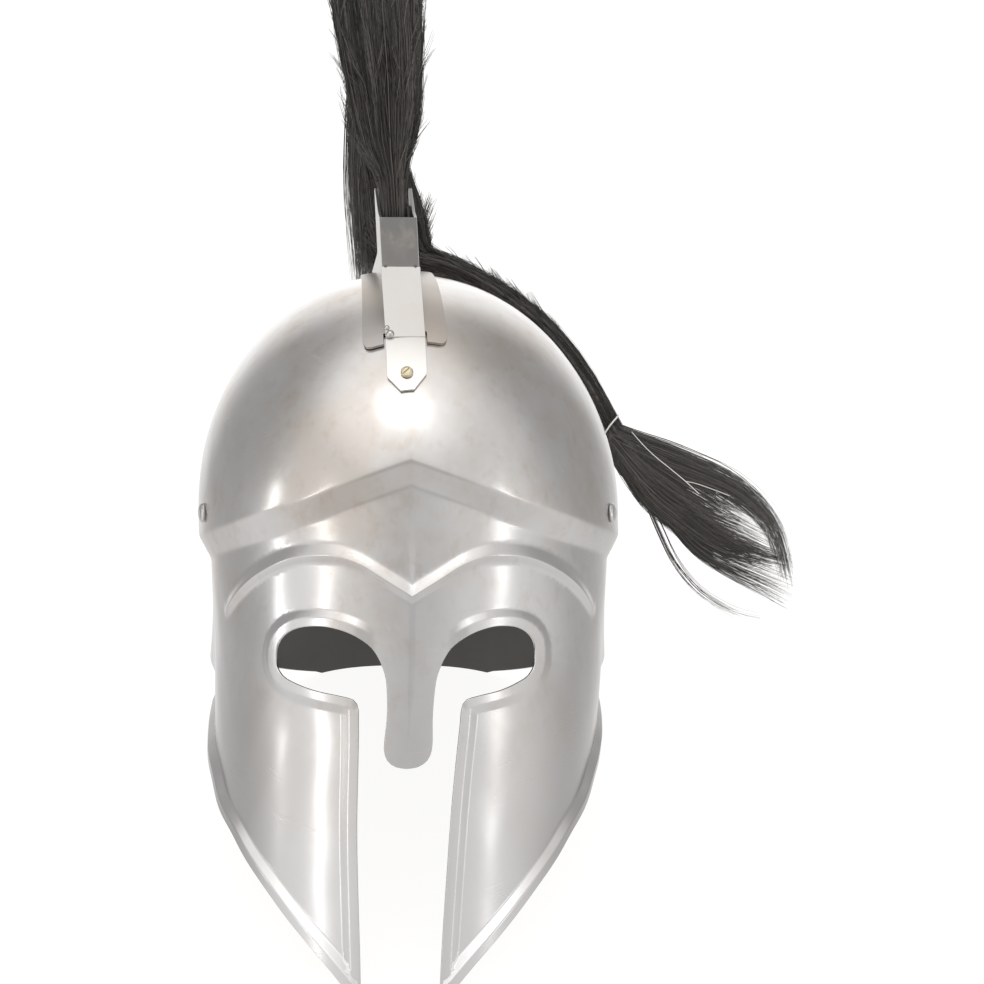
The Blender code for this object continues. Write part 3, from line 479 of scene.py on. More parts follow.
def edge_lines(step):
    """Opening edge, cheek edge and neck edge of one half: length round, level."""
    opening = through(OPENING, step)
    opening = np.stack([angle_of(opening[:, 0], opening[:, 1]) * ROUND, opening[:, 1]], axis=1)
    cheek = through([(math.radians(a) * ROUND, level) for a, level in CHEEK_EDGE], step)
    neck = through([(math.radians(a) * ROUND, level) for a, level in NECK_EDGE], step)
    return above_floor(opening, CHEEK_EDGE_RISE), above_floor(cheek, CHEEK_EDGE_RISE), above_floor(neck, 0)


def distance_to(points, line):
    best = np.full(len(points), np.inf)
    for a, b in zip(line[:-1], line[1:]):
        span = b - a
        t = np.clip(((points - a) @ span) / max(span @ span, 1e-12), 0, 1)
        best = np.minimum(best, np.linalg.norm(points - a - t[:, None] * span, axis=1))
    return best


def relief(points, opening, cheek):
    """Height of the raised edges and of the brow ridge over the base form, creases a little rounded."""
    s, level = points[:, 0], points[:, 1]
    degrees = np.degrees(s / ROUND)
    nose = ease((s - 0.150) / 0.10) + ease((-0.98 - level) / 0.06) * (s > 0.15)
    round_eye = np.exp(-(((degrees - 34) / 9) ** 2) - ((level + 0.77) / 0.17) ** 2)
    reach = distance_to(points, opening) / (1 + 0.42 * round_eye)
    inner = soft_ramp((EDGE_FLAT + EDGE_SLOPE - reach) / EDGE_SLOPE, 0.16)
    inner = FACE_EDGE_RISE * inner * np.clip(nose, 0, 1)
    start = ease((112 - degrees) / 12)
    outer = soft_ramp((EDGE_FLAT + EDGE_SLOPE - distance_to(points, cheek)) / EDGE_SLOPE, 0.16)
    outer = CHEEK_EDGE_RISE * outer * start
    brow = level - curve_at(BROW_LINE, degrees)
    bend = np.sqrt(brow**2 + 0.0035**2) - 0.0035
    ridge = np.where(brow > 0, 1 - bend / BROW_ABOVE, 1 - bend / BROW_BELOW)
    ridge = soft_over(ridge, 0.15 + 0.30 * ease((degrees - 40) / 14)) * ease((62 - degrees) / 8)
    return np.maximum(inner, outer) + BROW_RISE * np.minimum(ridge, 1)


def hammered(theta, level):
    """Slight unevenness left by the hammer."""
    a = np.sin(9 * theta + 3.7 * level + 1) * np.sin(7.3 * level - 4 * theta)
    b = np.sin(17 * theta + 5) * np.sin(15 * level + 2 + 2 * np.sin(5 * theta))
    return HAMMERED * (a + 0.6 * b)


def leaned(points):
    shift = curve_at(LEAN, points[:, 2] / HEAD)
    aside = (np.abs(points[:, 0]) / HEAD - EYE_MIDDLE[0]) / EYE_SPREAD[0]
    above = (points[:, 2] / HEAD - EYE_MIDDLE[1]) / EYE_SPREAD[1]
    front = np.clip(-points[:, 1] / HEAD, 0, 1)
    shift = HEAD * (shift + EYE_SHIFT * front * np.exp(-(aside**2) - above**2))
    return points + np.stack([shift, 0 * shift, 0 * shift], axis=1)


def sheet_point(flat, side, opening, cheek):
    """Outer surface of one side in metres."""
    theta = flat[:, 0] / ROUND
    folded = np.stack([np.abs(flat[:, 0]), flat[:, 1]], axis=1)
    radius = base_radius(theta, flat[:, 1]) + relief(folded, opening, cheek)
    radius = radius + hammered(side * theta, flat[:, 1])
    points = np.stack([side * radius * np.sin(theta), -radius * np.cos(theta), flat[:, 1]], axis=1)
    return leaned(points * HEAD)


def dome_point(theta, lift, side):
    """Outer surface of the crown's top in metres."""
    level = CROWN_WIDEST + CROWN_RISE * np.sin(lift)
    radius = crown_radius(theta, level) + hammered(side * theta, level) * np.cos(lift)
    points = np.stack([side * radius * np.sin(theta), -radius * np.cos(theta), level], axis=1)
    return leaned(points * HEAD)


def inside(points, polygon):
    x, y = points[:, 0], points[:, 1]
    odd = np.zeros(len(points), bool)
    for (x0, y0), (x1, y1) in zip(polygon, np.roll(polygon, -1, axis=0)):
        if y0 == y1:
            continue
        crosses = (y0 > y) != (y1 > y)
        odd ^= crosses & (x < (x1 - x0) * (y - y0) / (y1 - y0) + x0)
    return odd


def offset_line(line, distance, boundary):
    """The line moved to both sides, kept where it stays that far from the boundary."""
    along = np.gradient(line, axis=0)
    along /= np.linalg.norm(along, axis=1)[:, None]
    across = np.stack([-along[:, 1], along[:, 0]], axis=1)
    runs = []
    for side in (1, -1):
        moved = line + side * distance * across
        keep = (distance_to(moved, boundary) > 0.985 * distance) & inside(moved, boundary)
        start = None
        for i, k in enumerate(list(keep) + [False]):
            if k and start is None:
                start = i
            if not k and start is not None:
                if i - start > 1:
                    runs.append(moved[start:i])
                start = None
    return runs


def half_sheet():
    """Lower half of the sheet laid flat, as points and triangles with lines along every crease."""
    opening, cheek, neck = edge_lines(EDGE_STEP)
    end = math.pi * ROUND
    count = DOME_SEGMENTS + 1
    top = np.stack([np.linspace(end, 0, count), np.full(count, DOME_FOOT)], axis=1)
    boundary = np.concatenate([opening, cheek[1:], neck[1:], top])
    boundary[-1, 0] = 0
    lines = [np.vstack([boundary, boundary[:1]])]
    raised = np.concatenate([opening[8:], cheek[1:]])
    for distance in (EDGE_FLAT, EDGE_FLAT + EDGE_SLOPE):
        for shift in (-0.006, 0, 0.006):
            lines += offset_line(raised, distance + shift, boundary)
    s = np.linspace(0, end, DOME_SEGMENTS + 1)
    upper = curve_at(STEP_LINE, np.degrees(s / ROUND))
    for shift in (0.012, 0, -0.012, -STEP_DROP + 0.012, -STEP_DROP, -STEP_DROP - 0.012):
        lines.append(np.stack([s, upper + shift], axis=1))
    s = np.linspace(0, math.radians(60) * ROUND, 44)
    brow = curve_at(BROW_LINE, np.degrees(s / ROUND))
    shifts = (BROW_ABOVE + 0.006, BROW_ABOVE - 0.006, 0.005, 0, -0.005)
    for shift in (*shifts, -BROW_BELOW + 0.005, -BROW_BELOW - 0.005):
        lines.append(np.stack([s, brow + shift], axis=1))
    rows = np.arange(-2.4, DOME_FOOT, GRID_STEP * 0.87)
    grid = np.array(
        [
            (x + (0.5 * GRID_STEP if k % 2 else 0), level)
            for k, level in enumerate(rows)
            for x in np.arange(GRID_STEP * 0.5, end, GRID_STEP)
        ]
    )
    grid = grid[inside(grid, boundary)]
    for line in lines:
        grid = grid[distance_to(grid, line) > 0.55 * GRID_STEP]
    points, edges = [], []
    for line in lines:
        first = len(points)
        points += [tuple(p) for p in line]
        edges += [(i, i + 1) for i in range(first, len(points) - 1)]
    points += [tuple(p) for p in grid]
    made = delaunay_2d_cdt([Vector(p) for p in points], edges, [], 0, 1e-4)
    flat = np.array([tuple(v) for v in made[0]])
    faces = np.array([tuple(f) for f in made[2]])
    a, b, c = (flat[faces[:, k]] for k in range(3))
    area = (b[:, 0] - a[:, 0]) * (c[:, 1] - a[:, 1]) - (b[:, 1] - a[:, 1]) * (c[:, 0] - a[:, 0])
    keep = inside(flat[faces].mean(axis=1), boundary) & (np.abs(area) > 1e-8)
    faces, area = faces[keep], area[keep]
    faces[area < 0] = faces[area < 0][:, ::-1]
    used = np.unique(faces)
    index = np.zeros(len(flat), int)
    index[used] = np.arange(len(used))
    return flat[used], index[faces], opening, cheek


def direction(first, second, side):
    across = np.cross(first, second) * side
    return across / np.maximum(np.linalg.norm(across, axis=1), 1e-18)[:, None]


def outer_skin():
    """Whole outer surface with its own directions: points, normals, faces."""
    flat, faces, opening, cheek = half_sheet()
    eps = 1e-3
    row = DOME_SEGMENTS + 1
    start = math.asin((DOME_FOOT - CROWN_WIDEST) / CROWN_RISE)
    lift = np.repeat(start + (math.pi / 2 - start) * np.arange(DOME_RINGS) / DOME_RINGS, row)
    theta = np.tile(np.linspace(0, math.pi, row), DOME_RINGS)
    dome_faces = []
    for ring in range(DOME_RINGS - 1):
        for k in range(row - 1):
            a = ring * row + k
            dome_faces += [(a, a + 1, a + row + 1), (a, a + row + 1, a + row)]
    top = DOME_RINGS * row
    for k in range(row - 1):
        dome_faces.append((top - row + k, top - row + k + 1, top))
    half_faces = np.concatenate([faces, np.array(dome_faces) + len(flat)])
    all_points, all_normals, all_faces = [], [], []
    for side in (1, -1):
        lower = sheet_point(flat, side, opening, cheek)
        du, dv = (
            sheet_point(flat + step, side, opening, cheek) - sheet_point(flat - step, side, opening, cheek)
            for step in ((eps, 0), (0, eps))
        )
        upper = dome_point(theta, lift, side)
        du2 = dome_point(theta + eps, lift, side) - dome_point(theta - eps, lift, side)
        dv2 = dome_point(theta, lift + eps, side) - dome_point(theta, lift - eps, side)
        crest = leaned(np.array([[0, 0, HEAD * (CROWN_WIDEST + CROWN_RISE)]]))
        all_points.append(np.concatenate([lower, upper, crest]))
        normals = np.concatenate([direction(du, dv, side), direction(du2, dv2, side), [[0, 0, 1.0]]])
        all_normals.append(normals)
        all_faces.append(half_faces if side > 0 else half_faces[:, ::-1])
    count = len(all_points[0])
    points = np.concatenate(all_points)
    normals = np.concatenate(all_normals)
    faces = np.concatenate([all_faces[0], all_faces[1] + count])
    keys = np.round(points / 3e-5).astype(np.int64)
    _, first, index = np.unique(keys, axis=0, return_index=True, return_inverse=True)
    faces = index.reshape(-1)[faces]
    whole = (faces[:, 0] != faces[:, 1]) & (faces[:, 1] != faces[:, 2]) & (faces[:, 0] != faces[:, 2])
    return points[first], normals[first], faces[whole]


def walled(points, normals, faces):
    """Closed wall with a rounded rim: points, normals, faces and which faces look inward."""
    count = len(points)
    ends = np.concatenate([faces[:, [0, 1]], faces[:, [1, 2]], faces[:, [2, 0]]])
    key = ends.min(axis=1) * count + ends.max(axis=1)
    _, index, times = np.unique(key, return_inverse=True, return_counts=True)
    rim = ends[times[index.reshape(-1)] == 1]
    outward = np.zeros_like(points)
    for a, b in rim:
        away = np.cross(points[b] - points[a], normals[a])
        away /= np.linalg.norm(away) + 1e-18
        outward[a] += away
        outward[b] += away
    used = np.unique(rim)
    outward[used] /= np.linalg.norm(outward[used], axis=1)[:, None] + 1e-18
    place = np.zeros(count, int)
    place[used] = np.arange(len(used))
    rings = [used]
    layers, layer_normals = [], []
    total = 2 * count
    for k in range(1, RIM_RINGS + 1):
        phi = math.pi * k / (RIM_RINGS + 1)
        n, e = normals[used], outward[used]
        bend = math.cos(phi) * n + 0.6 * math.sin(phi) * e
        layers.append(points[used] - 0.5 * WALL * n + 0.5 * WALL * bend)
        turn = 0.6 * math.cos(phi) * n + math.sin(phi) * e
        layer_normals.append(turn / np.linalg.norm(turn, axis=1)[:, None])
        rings.append(total + np.arange(len(used)))
        total += len(used)
    rings.append(used + count)
    sides = []
    for upper, lower in zip(rings[:-1], rings[1:]):
        a, b = place[rim[:, 0]], place[rim[:, 1]]
        sides.append(np.stack([upper[b], upper[a], lower[a]], axis=1))
        sides.append(np.stack([upper[b], lower[a], lower[b]], axis=1))
    inner = faces[:, ::-1] + count
    all_faces = np.concatenate([faces, inner] + sides)
    inward = np.zeros(len(all_faces), int)
    inward[len(faces) : 2 * len(faces)] = 1
    all_points = np.concatenate([points, points - WALL * normals] + layers)
    all_normals = np.concatenate([normals, -normals] + layer_normals)
    return all_points, all_normals, all_faces, inward


def posed(points):
    """From the upright frame to the rest on the floor."""
    points = np.asarray(points, float)
    c, s = math.cos(-REST_TILT), math.sin(-REST_TILT)
    y = points[:, 1] * c - points[:, 2] * s
    z = points[:, 1] * s + points[:, 2] * c
    return np.stack([points[:, 0], y, z], axis=1) + PLACE


def turned_only(vectors):
    return posed(vectors) - PLACE


def mesh_piece(name, points, faces, normals=None, slots=None):
    """Mesh object at the origin from points, faces, directions and a material number for each face."""
    mesh = bpy.data.meshes.new(name)
    mesh.from_pydata([tuple(map(float, p)) for p in points], [], [tuple(map(int, f)) for f in faces])
    if slots is not None:
        mesh.polygons.foreach_set("material_index", np.asarray(slots, np.int32))
    mesh.polygons.foreach_set("use_smooth", [True] * len(mesh.polygons))
    mesh.update()
    if normals is not None:
        mesh.normals_split_custom_set_from_vertices([tuple(map(float, n)) for n in normals])
    obj = bpy.data.objects.new(name, mesh)
    bpy.context.scene.collection.objects.link(obj)
    return obj


def path_frames(points):
    """Even directions along a path, with one side kept close to the X axis."""
    along = np.gradient(points, axis=0)
    along /= np.linalg.norm(along, axis=1)[:, None]
    side = np.array([1.0, 0, 0])
    sides, uppers = [], []
    for t in along:
        side = side - (side @ t) * t
        side /= np.linalg.norm(side)
        sides.append(side.copy())
        uppers.append(np.cross(t, side))
    return np.array(sides), np.array(uppers)


def clear_of_crown(points, gap):
    """Hair that would pass through the crown lies on it instead."""
    shift = HEAD * curve_at(LEAN, points[:, 2] / HEAD)
    x, y = points[:, 0] - shift, points[:, 1]
    theta = np.arctan2(np.abs(x), -y)
    m = crown_power(theta)
    lift = np.maximum(points[:, 2] / HEAD - CROWN_WIDEST, 0) / CROWN_RISE
    size = ((np.hypot(x, y) / HEAD / crown_reach(theta)) ** m + lift**m) ** (1 / m)
    grow = np.maximum((1 + gap) / np.maximum(size, 0.3), 1)[:, None]
    middle = np.array([0, 0, HEAD * CROWN_WIDEST])
    moved = middle + (np.stack([x, y, points[:, 2]], axis=1) - middle) * grow
    return moved + np.stack([shift, 0 * shift, 0 * shift], axis=1)


def tail_line(step):
    """Sections along the tail in metres, from the socket to the tie."""
    return through(PLUME_PATH[: TIE_FROM + 2], step) * HEAD


def lock_ridge(angle, share):
    return 1 + 0.085 * np.cos(LOCKS * angle + 5 * share) + 0.03 * np.cos(19 * angle - 7 * share)


def tail_core():
    """Dark body of the tail and of the tuft's thick part under the loose hairs."""
    path = through(PLUME_PATH, 0.04) * HEAD
    sides, uppers = path_frames(path[:, :3])
    count, around = len(path), 72
    angle = np.tile(np.linspace(0, 2 * math.pi, around, endpoint=False), count)
    row = np.repeat(np.arange(count), around)
    beyond = ease((path[:, 0] / HEAD - 1.04) / 0.42) * (path[:, 2] / HEAD < 0.30)
    ridge = ((0.93 - 0.88 * beyond[row]) * lock_ridge(angle, row / (count - 1)))[:, None]
    wide = (path[row, 3] * np.cos(angle))[:, None] * sides[row]
    deep = (path[row, 4] * np.sin(angle))[:, None] * uppers[row]
    points = path[row, :3] + ridge * (wide + deep)
    points = clear_of_crown(points, 0.7 * PLUME_GAP)
    faces = []
    for i in range(count - 1):
        for k in range(around):
            a, b = i * around + k, i * around + (k + 1) % around
            faces.append((a, b, b + around, a + around))
    faces.append(tuple(range(around))[::-1])
    faces.append(tuple((count - 1) * around + k for k in range(around)))
    return points, faces


def tail_sections():
    """Middle, half sizes and directions along the tail against its share of length."""
    path = tail_line(0.03)
    sides, uppers = path_frames(path[:, :3])
    table = np.concatenate([path, sides, uppers], axis=1)
    place = np.linspace(0, 1, len(path))

    def at(share):
        rows = np.stack([np.interp(share, place, table[:, k]) for k in range(table.shape[1])], axis=1)
        return rows[:, :3], rows[:, 3], rows[:, 4], rows[:, 5:8], rows[:, 8:11]

    return at, place[np.argmax(path[:, 2])]


def on_section(section, turn, size):
    middle, wide, deep, side, upper = section
    across = (wide * np.cos(turn))[:, None] * side + (deep * np.sin(turn))[:, None] * upper
    return middle + size[:, None] * across


def with_room(line, wide):
    """Guide points with the room that its hairs have to spread."""
    return np.concatenate([line, np.clip(wide / 0.016, 0.30, 1)[:, None]], axis=1)


def tail_guides(amount, first, last, steps, reach, wander, seed):
    """Lines along the tail's surface between two shares of its length."""
    rng = np.random.default_rng(seed)
    at, _ = tail_sections()
    guides = []
    for _ in range(amount):
        angle = rng.uniform(0, 2 * math.pi)
        share = np.linspace(rng.uniform(*first), rng.uniform(*last), steps)
        turn = angle + wander * rng.normal() * (share - share[0])
        section = at(share)
        size = rng.uniform(*reach) * lock_ridge(turn, share)
        line = clear_of_crown(on_section(section, turn, size), PLUME_GAP + 0.004 * rng.uniform())
        guides.append(with_room(line, section[1]))
    return guides


def bristle_guides(amount, steps, seed):
    """Short hair ends that stand off the tail with their tips turned upward."""
    rng = np.random.default_rng(seed)
    at, top = tail_sections()
    guides = []
    for _ in range(amount):
        start = rng.uniform(0.07, 0.90)
        upward = 1 if start < top else -1
        reach = rng.uniform(0.015, 0.055) if start < 0.70 else rng.uniform(0.012, 0.030)
        t = np.linspace(0, 1, steps)
        share = start + upward * reach * t
        turn = rng.uniform(0, 2 * math.pi) + 0.25 * rng.normal() * t
        section = at(share)
        stand = min(rng.gamma(2.0, 0.0016), 0.0075 if start < 0.70 else 0.0045) * t**1.5 / section[1]
        size = 0.93 * lock_ridge(turn, share) + stand
        line = clear_of_crown(on_section(section, turn, size), PLUME_GAP + 0.004 * rng.uniform())
        guides.append(with_room(line, section[1]))
    return guides


def bundle_guides(rows, amount, ends, steps, clumps, seed):
    """Hair lines inside one bundle of the tuft, drawn into clumps toward their ends."""
    rng = np.random.default_rng(seed)
    path = through(rows, 0.02) * HEAD
    along = np.gradient(path[:, :3], axis=0)
    along /= np.linalg.norm(along, axis=1)[:, None]
    across = np.cross(along, (0, 1, 0))
    across /= np.linalg.norm(across, axis=1)[:, None]
    table = np.concatenate([path, across], axis=1)
    place = np.linspace(0, 1, len(path))
    centres = rng.uniform(-1, 1, (clumps, 2))
    guides = []
    for _ in range(amount):
        angle, far = rng.uniform(0, 2 * math.pi), math.sqrt(rng.uniform())
        at = far * np.array([math.cos(angle), math.sin(angle)])
        centre = centres[np.argmin(np.linalg.norm(centres - at, axis=1))]
        share = np.linspace(0, rng.uniform(*ends), steps)
        section = np.stack([np.interp(share, place, table[:, k]) for k in range(table.shape[1])], axis=1)
        pull = rng.uniform(0.1, 0.6) * ease((share - 0.35) / 0.5)
        flare = 1 + 0.18 * abs(rng.normal()) * ease((share - 0.7) / 0.3)
        u = (at[0] + (centre[0] - at[0]) * pull) * flare
        v = at[1] + (centre[1] - at[1]) * pull
        line = section[:, :3] + (u * section[:, 3])[:, None] * section[:, 5:8]
        line[:, 1] += v * section[:, 4]
        guides.append(with_room(line, 0.35 * section[:, 3] + 0.002 + 0.010 * ease(share)))
    return guides


def widened(rows, times):
    """The same bundle with wider sections, for a few hairs that stray from it."""
    return tuple((x, y, z, times * wide, deep) for x, y, z, wide, deep in rows)


def joined_lines(name, guides):
    """One object with each guide as a line of edges."""
    points = np.concatenate([guide[:, :3] for guide in guides])
    edges, first = [], 0
    for guide in guides:
        edges += [(first + i, first + i + 1) for i in range(len(guide) - 1)]
        first += len(guide)
    mesh = bpy.data.meshes.new(name)
    mesh.from_pydata([tuple(map(float, p)) for p in points], edges, [])
    room = mesh.attributes.new("room", "FLOAT", "POINT")
    room.data.foreach_set("value", np.concatenate([guide[:, 3] for guide in guides]).astype(np.float32))
    obj = bpy.data.objects.new(name, mesh)
    bpy.context.scene.collection.objects.link(obj)
    return obj


def named_input(tree, name, kind, value):
    made = tree.interface.new_socket(name=name, in_out="INPUT", socket_type=kind)
    if value is not None:
        made.default_value = value
    return made


def hair_tree():
    """Hairs along guide lines: several to a guide, each with its own place, wave, taper and tone."""
    tree = bpy.data.node_groups.new("hairs along guides", "GeometryNodeTree")
    tree.is_modifier = True
    tree.interface.new_socket(name="Guides", in_out="INPUT", socket_type="NodeSocketGeometry")
    named_input(tree, "Hairs per guide", "NodeSocketInt", 4)
    named_input(tree, "Spread", "NodeSocketFloat", 0.0012)
    named_input(tree, "Thickness", "NodeSocketFloat", 0.00014)
    named_input(tree, "Wave", "NodeSocketFloat", 0.0008)
    named_input(tree, "Seed", "NodeSocketInt", 1)
    named_input(tree, "Finish", "NodeSocketMaterial", None)
    tree.interface.new_socket(name="Hairs", in_out="OUTPUT", socket_type="NodeSocketGeometry")
    nodes, links = tree.nodes, tree.links
    start = nodes.new("NodeGroupInput")
    curves = nodes.new("GeometryNodeMeshToCurve")
    links.new(start.outputs["Guides"], curves.inputs["Mesh"])
    copies = nodes.new("GeometryNodeDuplicateElements")
    copies.domain = "SPLINE"
    links.new(curves.outputs["Curve"], copies.inputs["Geometry"])
    links.new(start.outputs["Hairs per guide"], copies.inputs["Amount"])
    index = nodes.new("GeometryNodeInputIndex")
    keep = nodes.new("GeometryNodeStoreNamedAttribute")
    keep.domain = "CURVE"
    keep.data_type = "INT"
    keep.inputs["Name"].default_value = "hair_number"
    links.new(copies.outputs["Geometry"], keep.inputs["Geometry"])
    links.new(index.outputs["Index"], keep.inputs["Value"])
    number = nodes.new("GeometryNodeInputNamedAttribute")
    number.data_type = "INT"
    number.inputs["Name"].default_value = "hair_number"

    def chance(kind, low, high, shift):
        node = nodes.new("FunctionNodeRandomValue")
        node.data_type = kind
        pick = {"FLOAT_VECTOR": (0, 1), "FLOAT": (2, 3)}[kind]
        node.inputs[pick[0]].default_value = low
        node.inputs[pick[1]].default_value = high
        links.new(number.outputs["Attribute"], node.inputs["ID"])
        add = nodes.new("FunctionNodeIntegerMath")
        add.operation = "ADD"
        links.new(start.outputs["Seed"], add.inputs[0])
        add.inputs[1].default_value = shift
        links.new(add.outputs[0], node.inputs["Seed"])
        return node.outputs[0 if kind == "FLOAT_VECTOR" else 1]

    along = nodes.new("GeometryNodeSplineParameter")
    place = nodes.new("GeometryNodeInputPosition")
    aside = nodes.new("ShaderNodeVectorMath")
    aside.operation = "SCALE"
    links.new(chance("FLOAT_VECTOR", (-1, -1, -1), (1, 1, 1), 1), aside.inputs[0])
    links.new(start.outputs["Spread"], aside.inputs["Scale"])
    wave_at = nodes.new("ShaderNodeVectorMath")
    wave_at.operation = "ADD"
    links.new(place.outputs["Position"], wave_at.inputs[0])
    links.new(chance("FLOAT_VECTOR", (-0.08, -0.08, -0.08), (0.08, 0.08, 0.08), 2), wave_at.inputs[1])
    noise = nodes.new("ShaderNodeTexNoise")
    noise.inputs["Scale"].default_value = 16.0
    noise.inputs["Detail"].default_value = 1.0
    links.new(wave_at.outputs["Vector"], noise.inputs["Vector"])
    centred = nodes.new("ShaderNodeVectorMath")
    centred.operation = "SUBTRACT"
    links.new(noise.outputs["Color"], centred.inputs[0])
    centred.inputs[1].default_value = (0.5, 0.5, 0.5)
    wave = nodes.new("ShaderNodeVectorMath")
    wave.operation = "SCALE"
    links.new(centred.outputs["Vector"], wave.inputs[0])
    amount = nodes.new("ShaderNodeMath")
    amount.operation = "MULTIPLY"
    links.new(start.outputs["Wave"], amount.inputs[0])
    links.new(along.outputs["Factor"], amount.inputs[1])
    links.new(amount.outputs["Value"], wave.inputs["Scale"])
    offset = nodes.new("ShaderNodeVectorMath")
    offset.operation = "ADD"
    links.new(aside.outputs["Vector"], offset.inputs[0])
    links.new(wave.outputs["Vector"], offset.inputs[1])
    room = nodes.new("GeometryNodeInputNamedAttribute")
    room.data_type = "FLOAT"
    room.inputs["Name"].default_value = "room"
    held = nodes.new("ShaderNodeVectorMath")
    held.operation = "SCALE"
    links.new(offset.outputs["Vector"], held.inputs[0])
    links.new(room.outputs["Attribute"], held.inputs["Scale"])
    move = nodes.new("GeometryNodeSetPosition")
    links.new(keep.outputs["Geometry"], move.inputs["Geometry"])
    links.new(held.outputs["Vector"], move.inputs["Offset"])
    taper = nodes.new("ShaderNodeMapRange")
    taper.inputs["From Min"].default_value = 0.55
    taper.inputs["From Max"].default_value = 1.0
    taper.inputs["To Min"].default_value = 1.0
    taper.inputs["To Max"].default_value = 0.35
    links.new(along.outputs["Factor"], taper.inputs["Value"])
    width = nodes.new("ShaderNodeMath")
    width.operation = "MULTIPLY"
    links.new(taper.outputs["Result"], width.inputs[0])
    links.new(chance("FLOAT", 0.7, 1.3, 3), width.inputs[1])
    thick = nodes.new("ShaderNodeMath")
    thick.operation = "MULTIPLY"
    links.new(width.outputs["Value"], thick.inputs[0])
    links.new(start.outputs["Thickness"], thick.inputs[1])
    radius = nodes.new("GeometryNodeSetCurveRadius")
    links.new(move.outputs["Geometry"], radius.inputs["Curve"])
    links.new(thick.outputs["Value"], radius.inputs["Radius"])
    tone = nodes.new("GeometryNodeStoreNamedAttribute")
    tone.domain = "CURVE"
    tone.data_type = "FLOAT"
    tone.inputs["Name"].default_value = "hair_tone"
    links.new(radius.outputs["Curve"], tone.inputs["Geometry"])
    links.new(chance("FLOAT", 0.0, 1.0, 4), tone.inputs["Value"])
    profile = nodes.new("GeometryNodeCurvePrimitiveCircle")
    profile.inputs["Resolution"].default_value = 3
    profile.inputs["Radius"].default_value = 1.0
    mesh = nodes.new("GeometryNodeCurveToMesh")
    mesh.inputs["Fill Caps"].default_value = True
    links.new(tone.outputs["Geometry"], mesh.inputs["Curve"])
    links.new(profile.outputs["Curve"], mesh.inputs["Profile Curve"])
    for socket in mesh.inputs:
        if socket.name == "Scale":
            reader = nodes.new("GeometryNodeInputRadius")
            links.new(reader.outputs["Radius"], socket)
    smooth = nodes.new("GeometryNodeSetShadeSmooth")
    links.new(mesh.outputs["Mesh"], smooth.inputs["Geometry"])
    real = nodes.new("GeometryNodeRealizeInstances")
    links.new(smooth.outputs["Geometry"], real.inputs["Geometry"])
    paint = nodes.new("GeometryNodeSetMaterial")
    links.new(real.outputs["Geometry"], paint.inputs["Geometry"])
    links.new(start.outputs["Finish"], paint.inputs["Material"])
    end = nodes.new("NodeGroupOutput")
    links.new(paint.outputs["Geometry"], end.inputs["Hairs"])
    return tree


def hairs(name, guides, tree, finish, **values):
    """Piece of hairs grown from guide lines by the tree, as a plain mesh."""
    lines = joined_lines(name + "_guides", [np.column_stack([posed(g[:, :3]), g[:, 3]]) for g in guides])
    modifier = lines.modifiers.new("hairs", "NODES")
    modifier.node_group = tree
    sockets = {item.name: item.identifier for item in tree.interface.items_tree if item.in_out == "INPUT"}
    modifier[sockets["Finish"]] = finish
    for key, value in values.items():
        modifier[sockets[key.replace("_", " ")]] = value
    graph = bpy.context.evaluated_depsgraph_get()
    mesh = bpy.data.meshes.new_from_object(lines.evaluated_get(graph))
    bpy.data.objects.remove(lines, do_unlink=True)
    mesh.name = name
    piece = bpy.data.objects.new(name, mesh)
    bpy.context.scene.collection.objects.link(piece)
    if not mesh.materials:
        mesh.materials.append(finish)
    print(name, len(mesh.polygons), "faces")
    return piece


def tube(points, radius, sides=8):
    """Closed round tube along points."""
    points = np.asarray(points, float)
    along = np.gradient(points, axis=0)
    along /= np.linalg.norm(along, axis=1)[:, None]
    side = np.cross(along[0], (0.3, 0.2, 1.0))
    made, faces = [], []
    for p, t in zip(points, along):
        side = side - (side @ t) * t
        side /= np.linalg.norm(side)
        upper = np.cross(t, side)
        for k in range(sides):
            a = 2 * math.pi * k / sides
            made.append(p + radius * (math.cos(a) * side + math.sin(a) * upper))
    for i in range(len(points) - 1):
        for k in range(sides):
            a, b = i * sides + k, i * sides + (k + 1) % sides
            faces.append((a, b, b + sides, a + sides))
    faces.append(tuple(range(sides))[::-1])
    faces.append(tuple((len(points) - 1) * sides + k for k in range(sides)))
    return np.array(made), faces


def together(parts):
    """Several closed bodies as one list of points and faces."""
    points, faces, first = [], [], 0
    for p, f in parts:
        points.append(np.asarray(p, float))
        faces += [tuple(int(i) + first for i in face) for face in f]
        first += len(p)
    return np.concatenate(points), faces


def tie_thread():
    """White thread wound round the tail, with its loose end."""
    first, last = (HEAD * np.array(PLUME_PATH[TIE_FROM + k]) for k in (0, 1))
    middle = (first[:3] + last[:3]) / 2
    t = (last[:3] - first[:3]) / np.linalg.norm(last[:3] - first[:3])
    u = np.cross(t, (0, 1, 0))
    u /= np.linalg.norm(u)
    v = np.cross(t, u)
    turns, reach, radius, slant = 2.0, 0.00028, 0.00030, math.tan(math.radians(26))
    inner = 1.10 * first[3] + 0.0006
    wound = []
    for k in range(int(turns * 40) + 1):
        a = 2 * math.pi * k / 40 + 2.2
        shift = -reach + 2 * reach * k / (turns * 40) + 0.0002 * math.sin(3 * a)
        shift -= slant * inner * math.cos(a)
        out = inner + 0.00008 * math.sin(5 * a)
        wound.append(middle + out * (math.cos(a) * u + math.sin(a) * v) + shift * t)
    loose = through(LOOSE_THREAD, 0.02) * HEAD
    branch = through(THREAD_BRANCH, 0.02) * HEAD
    return together([tube(wound, radius), tube(loose, 0.00022), tube(branch, 0.00018)])


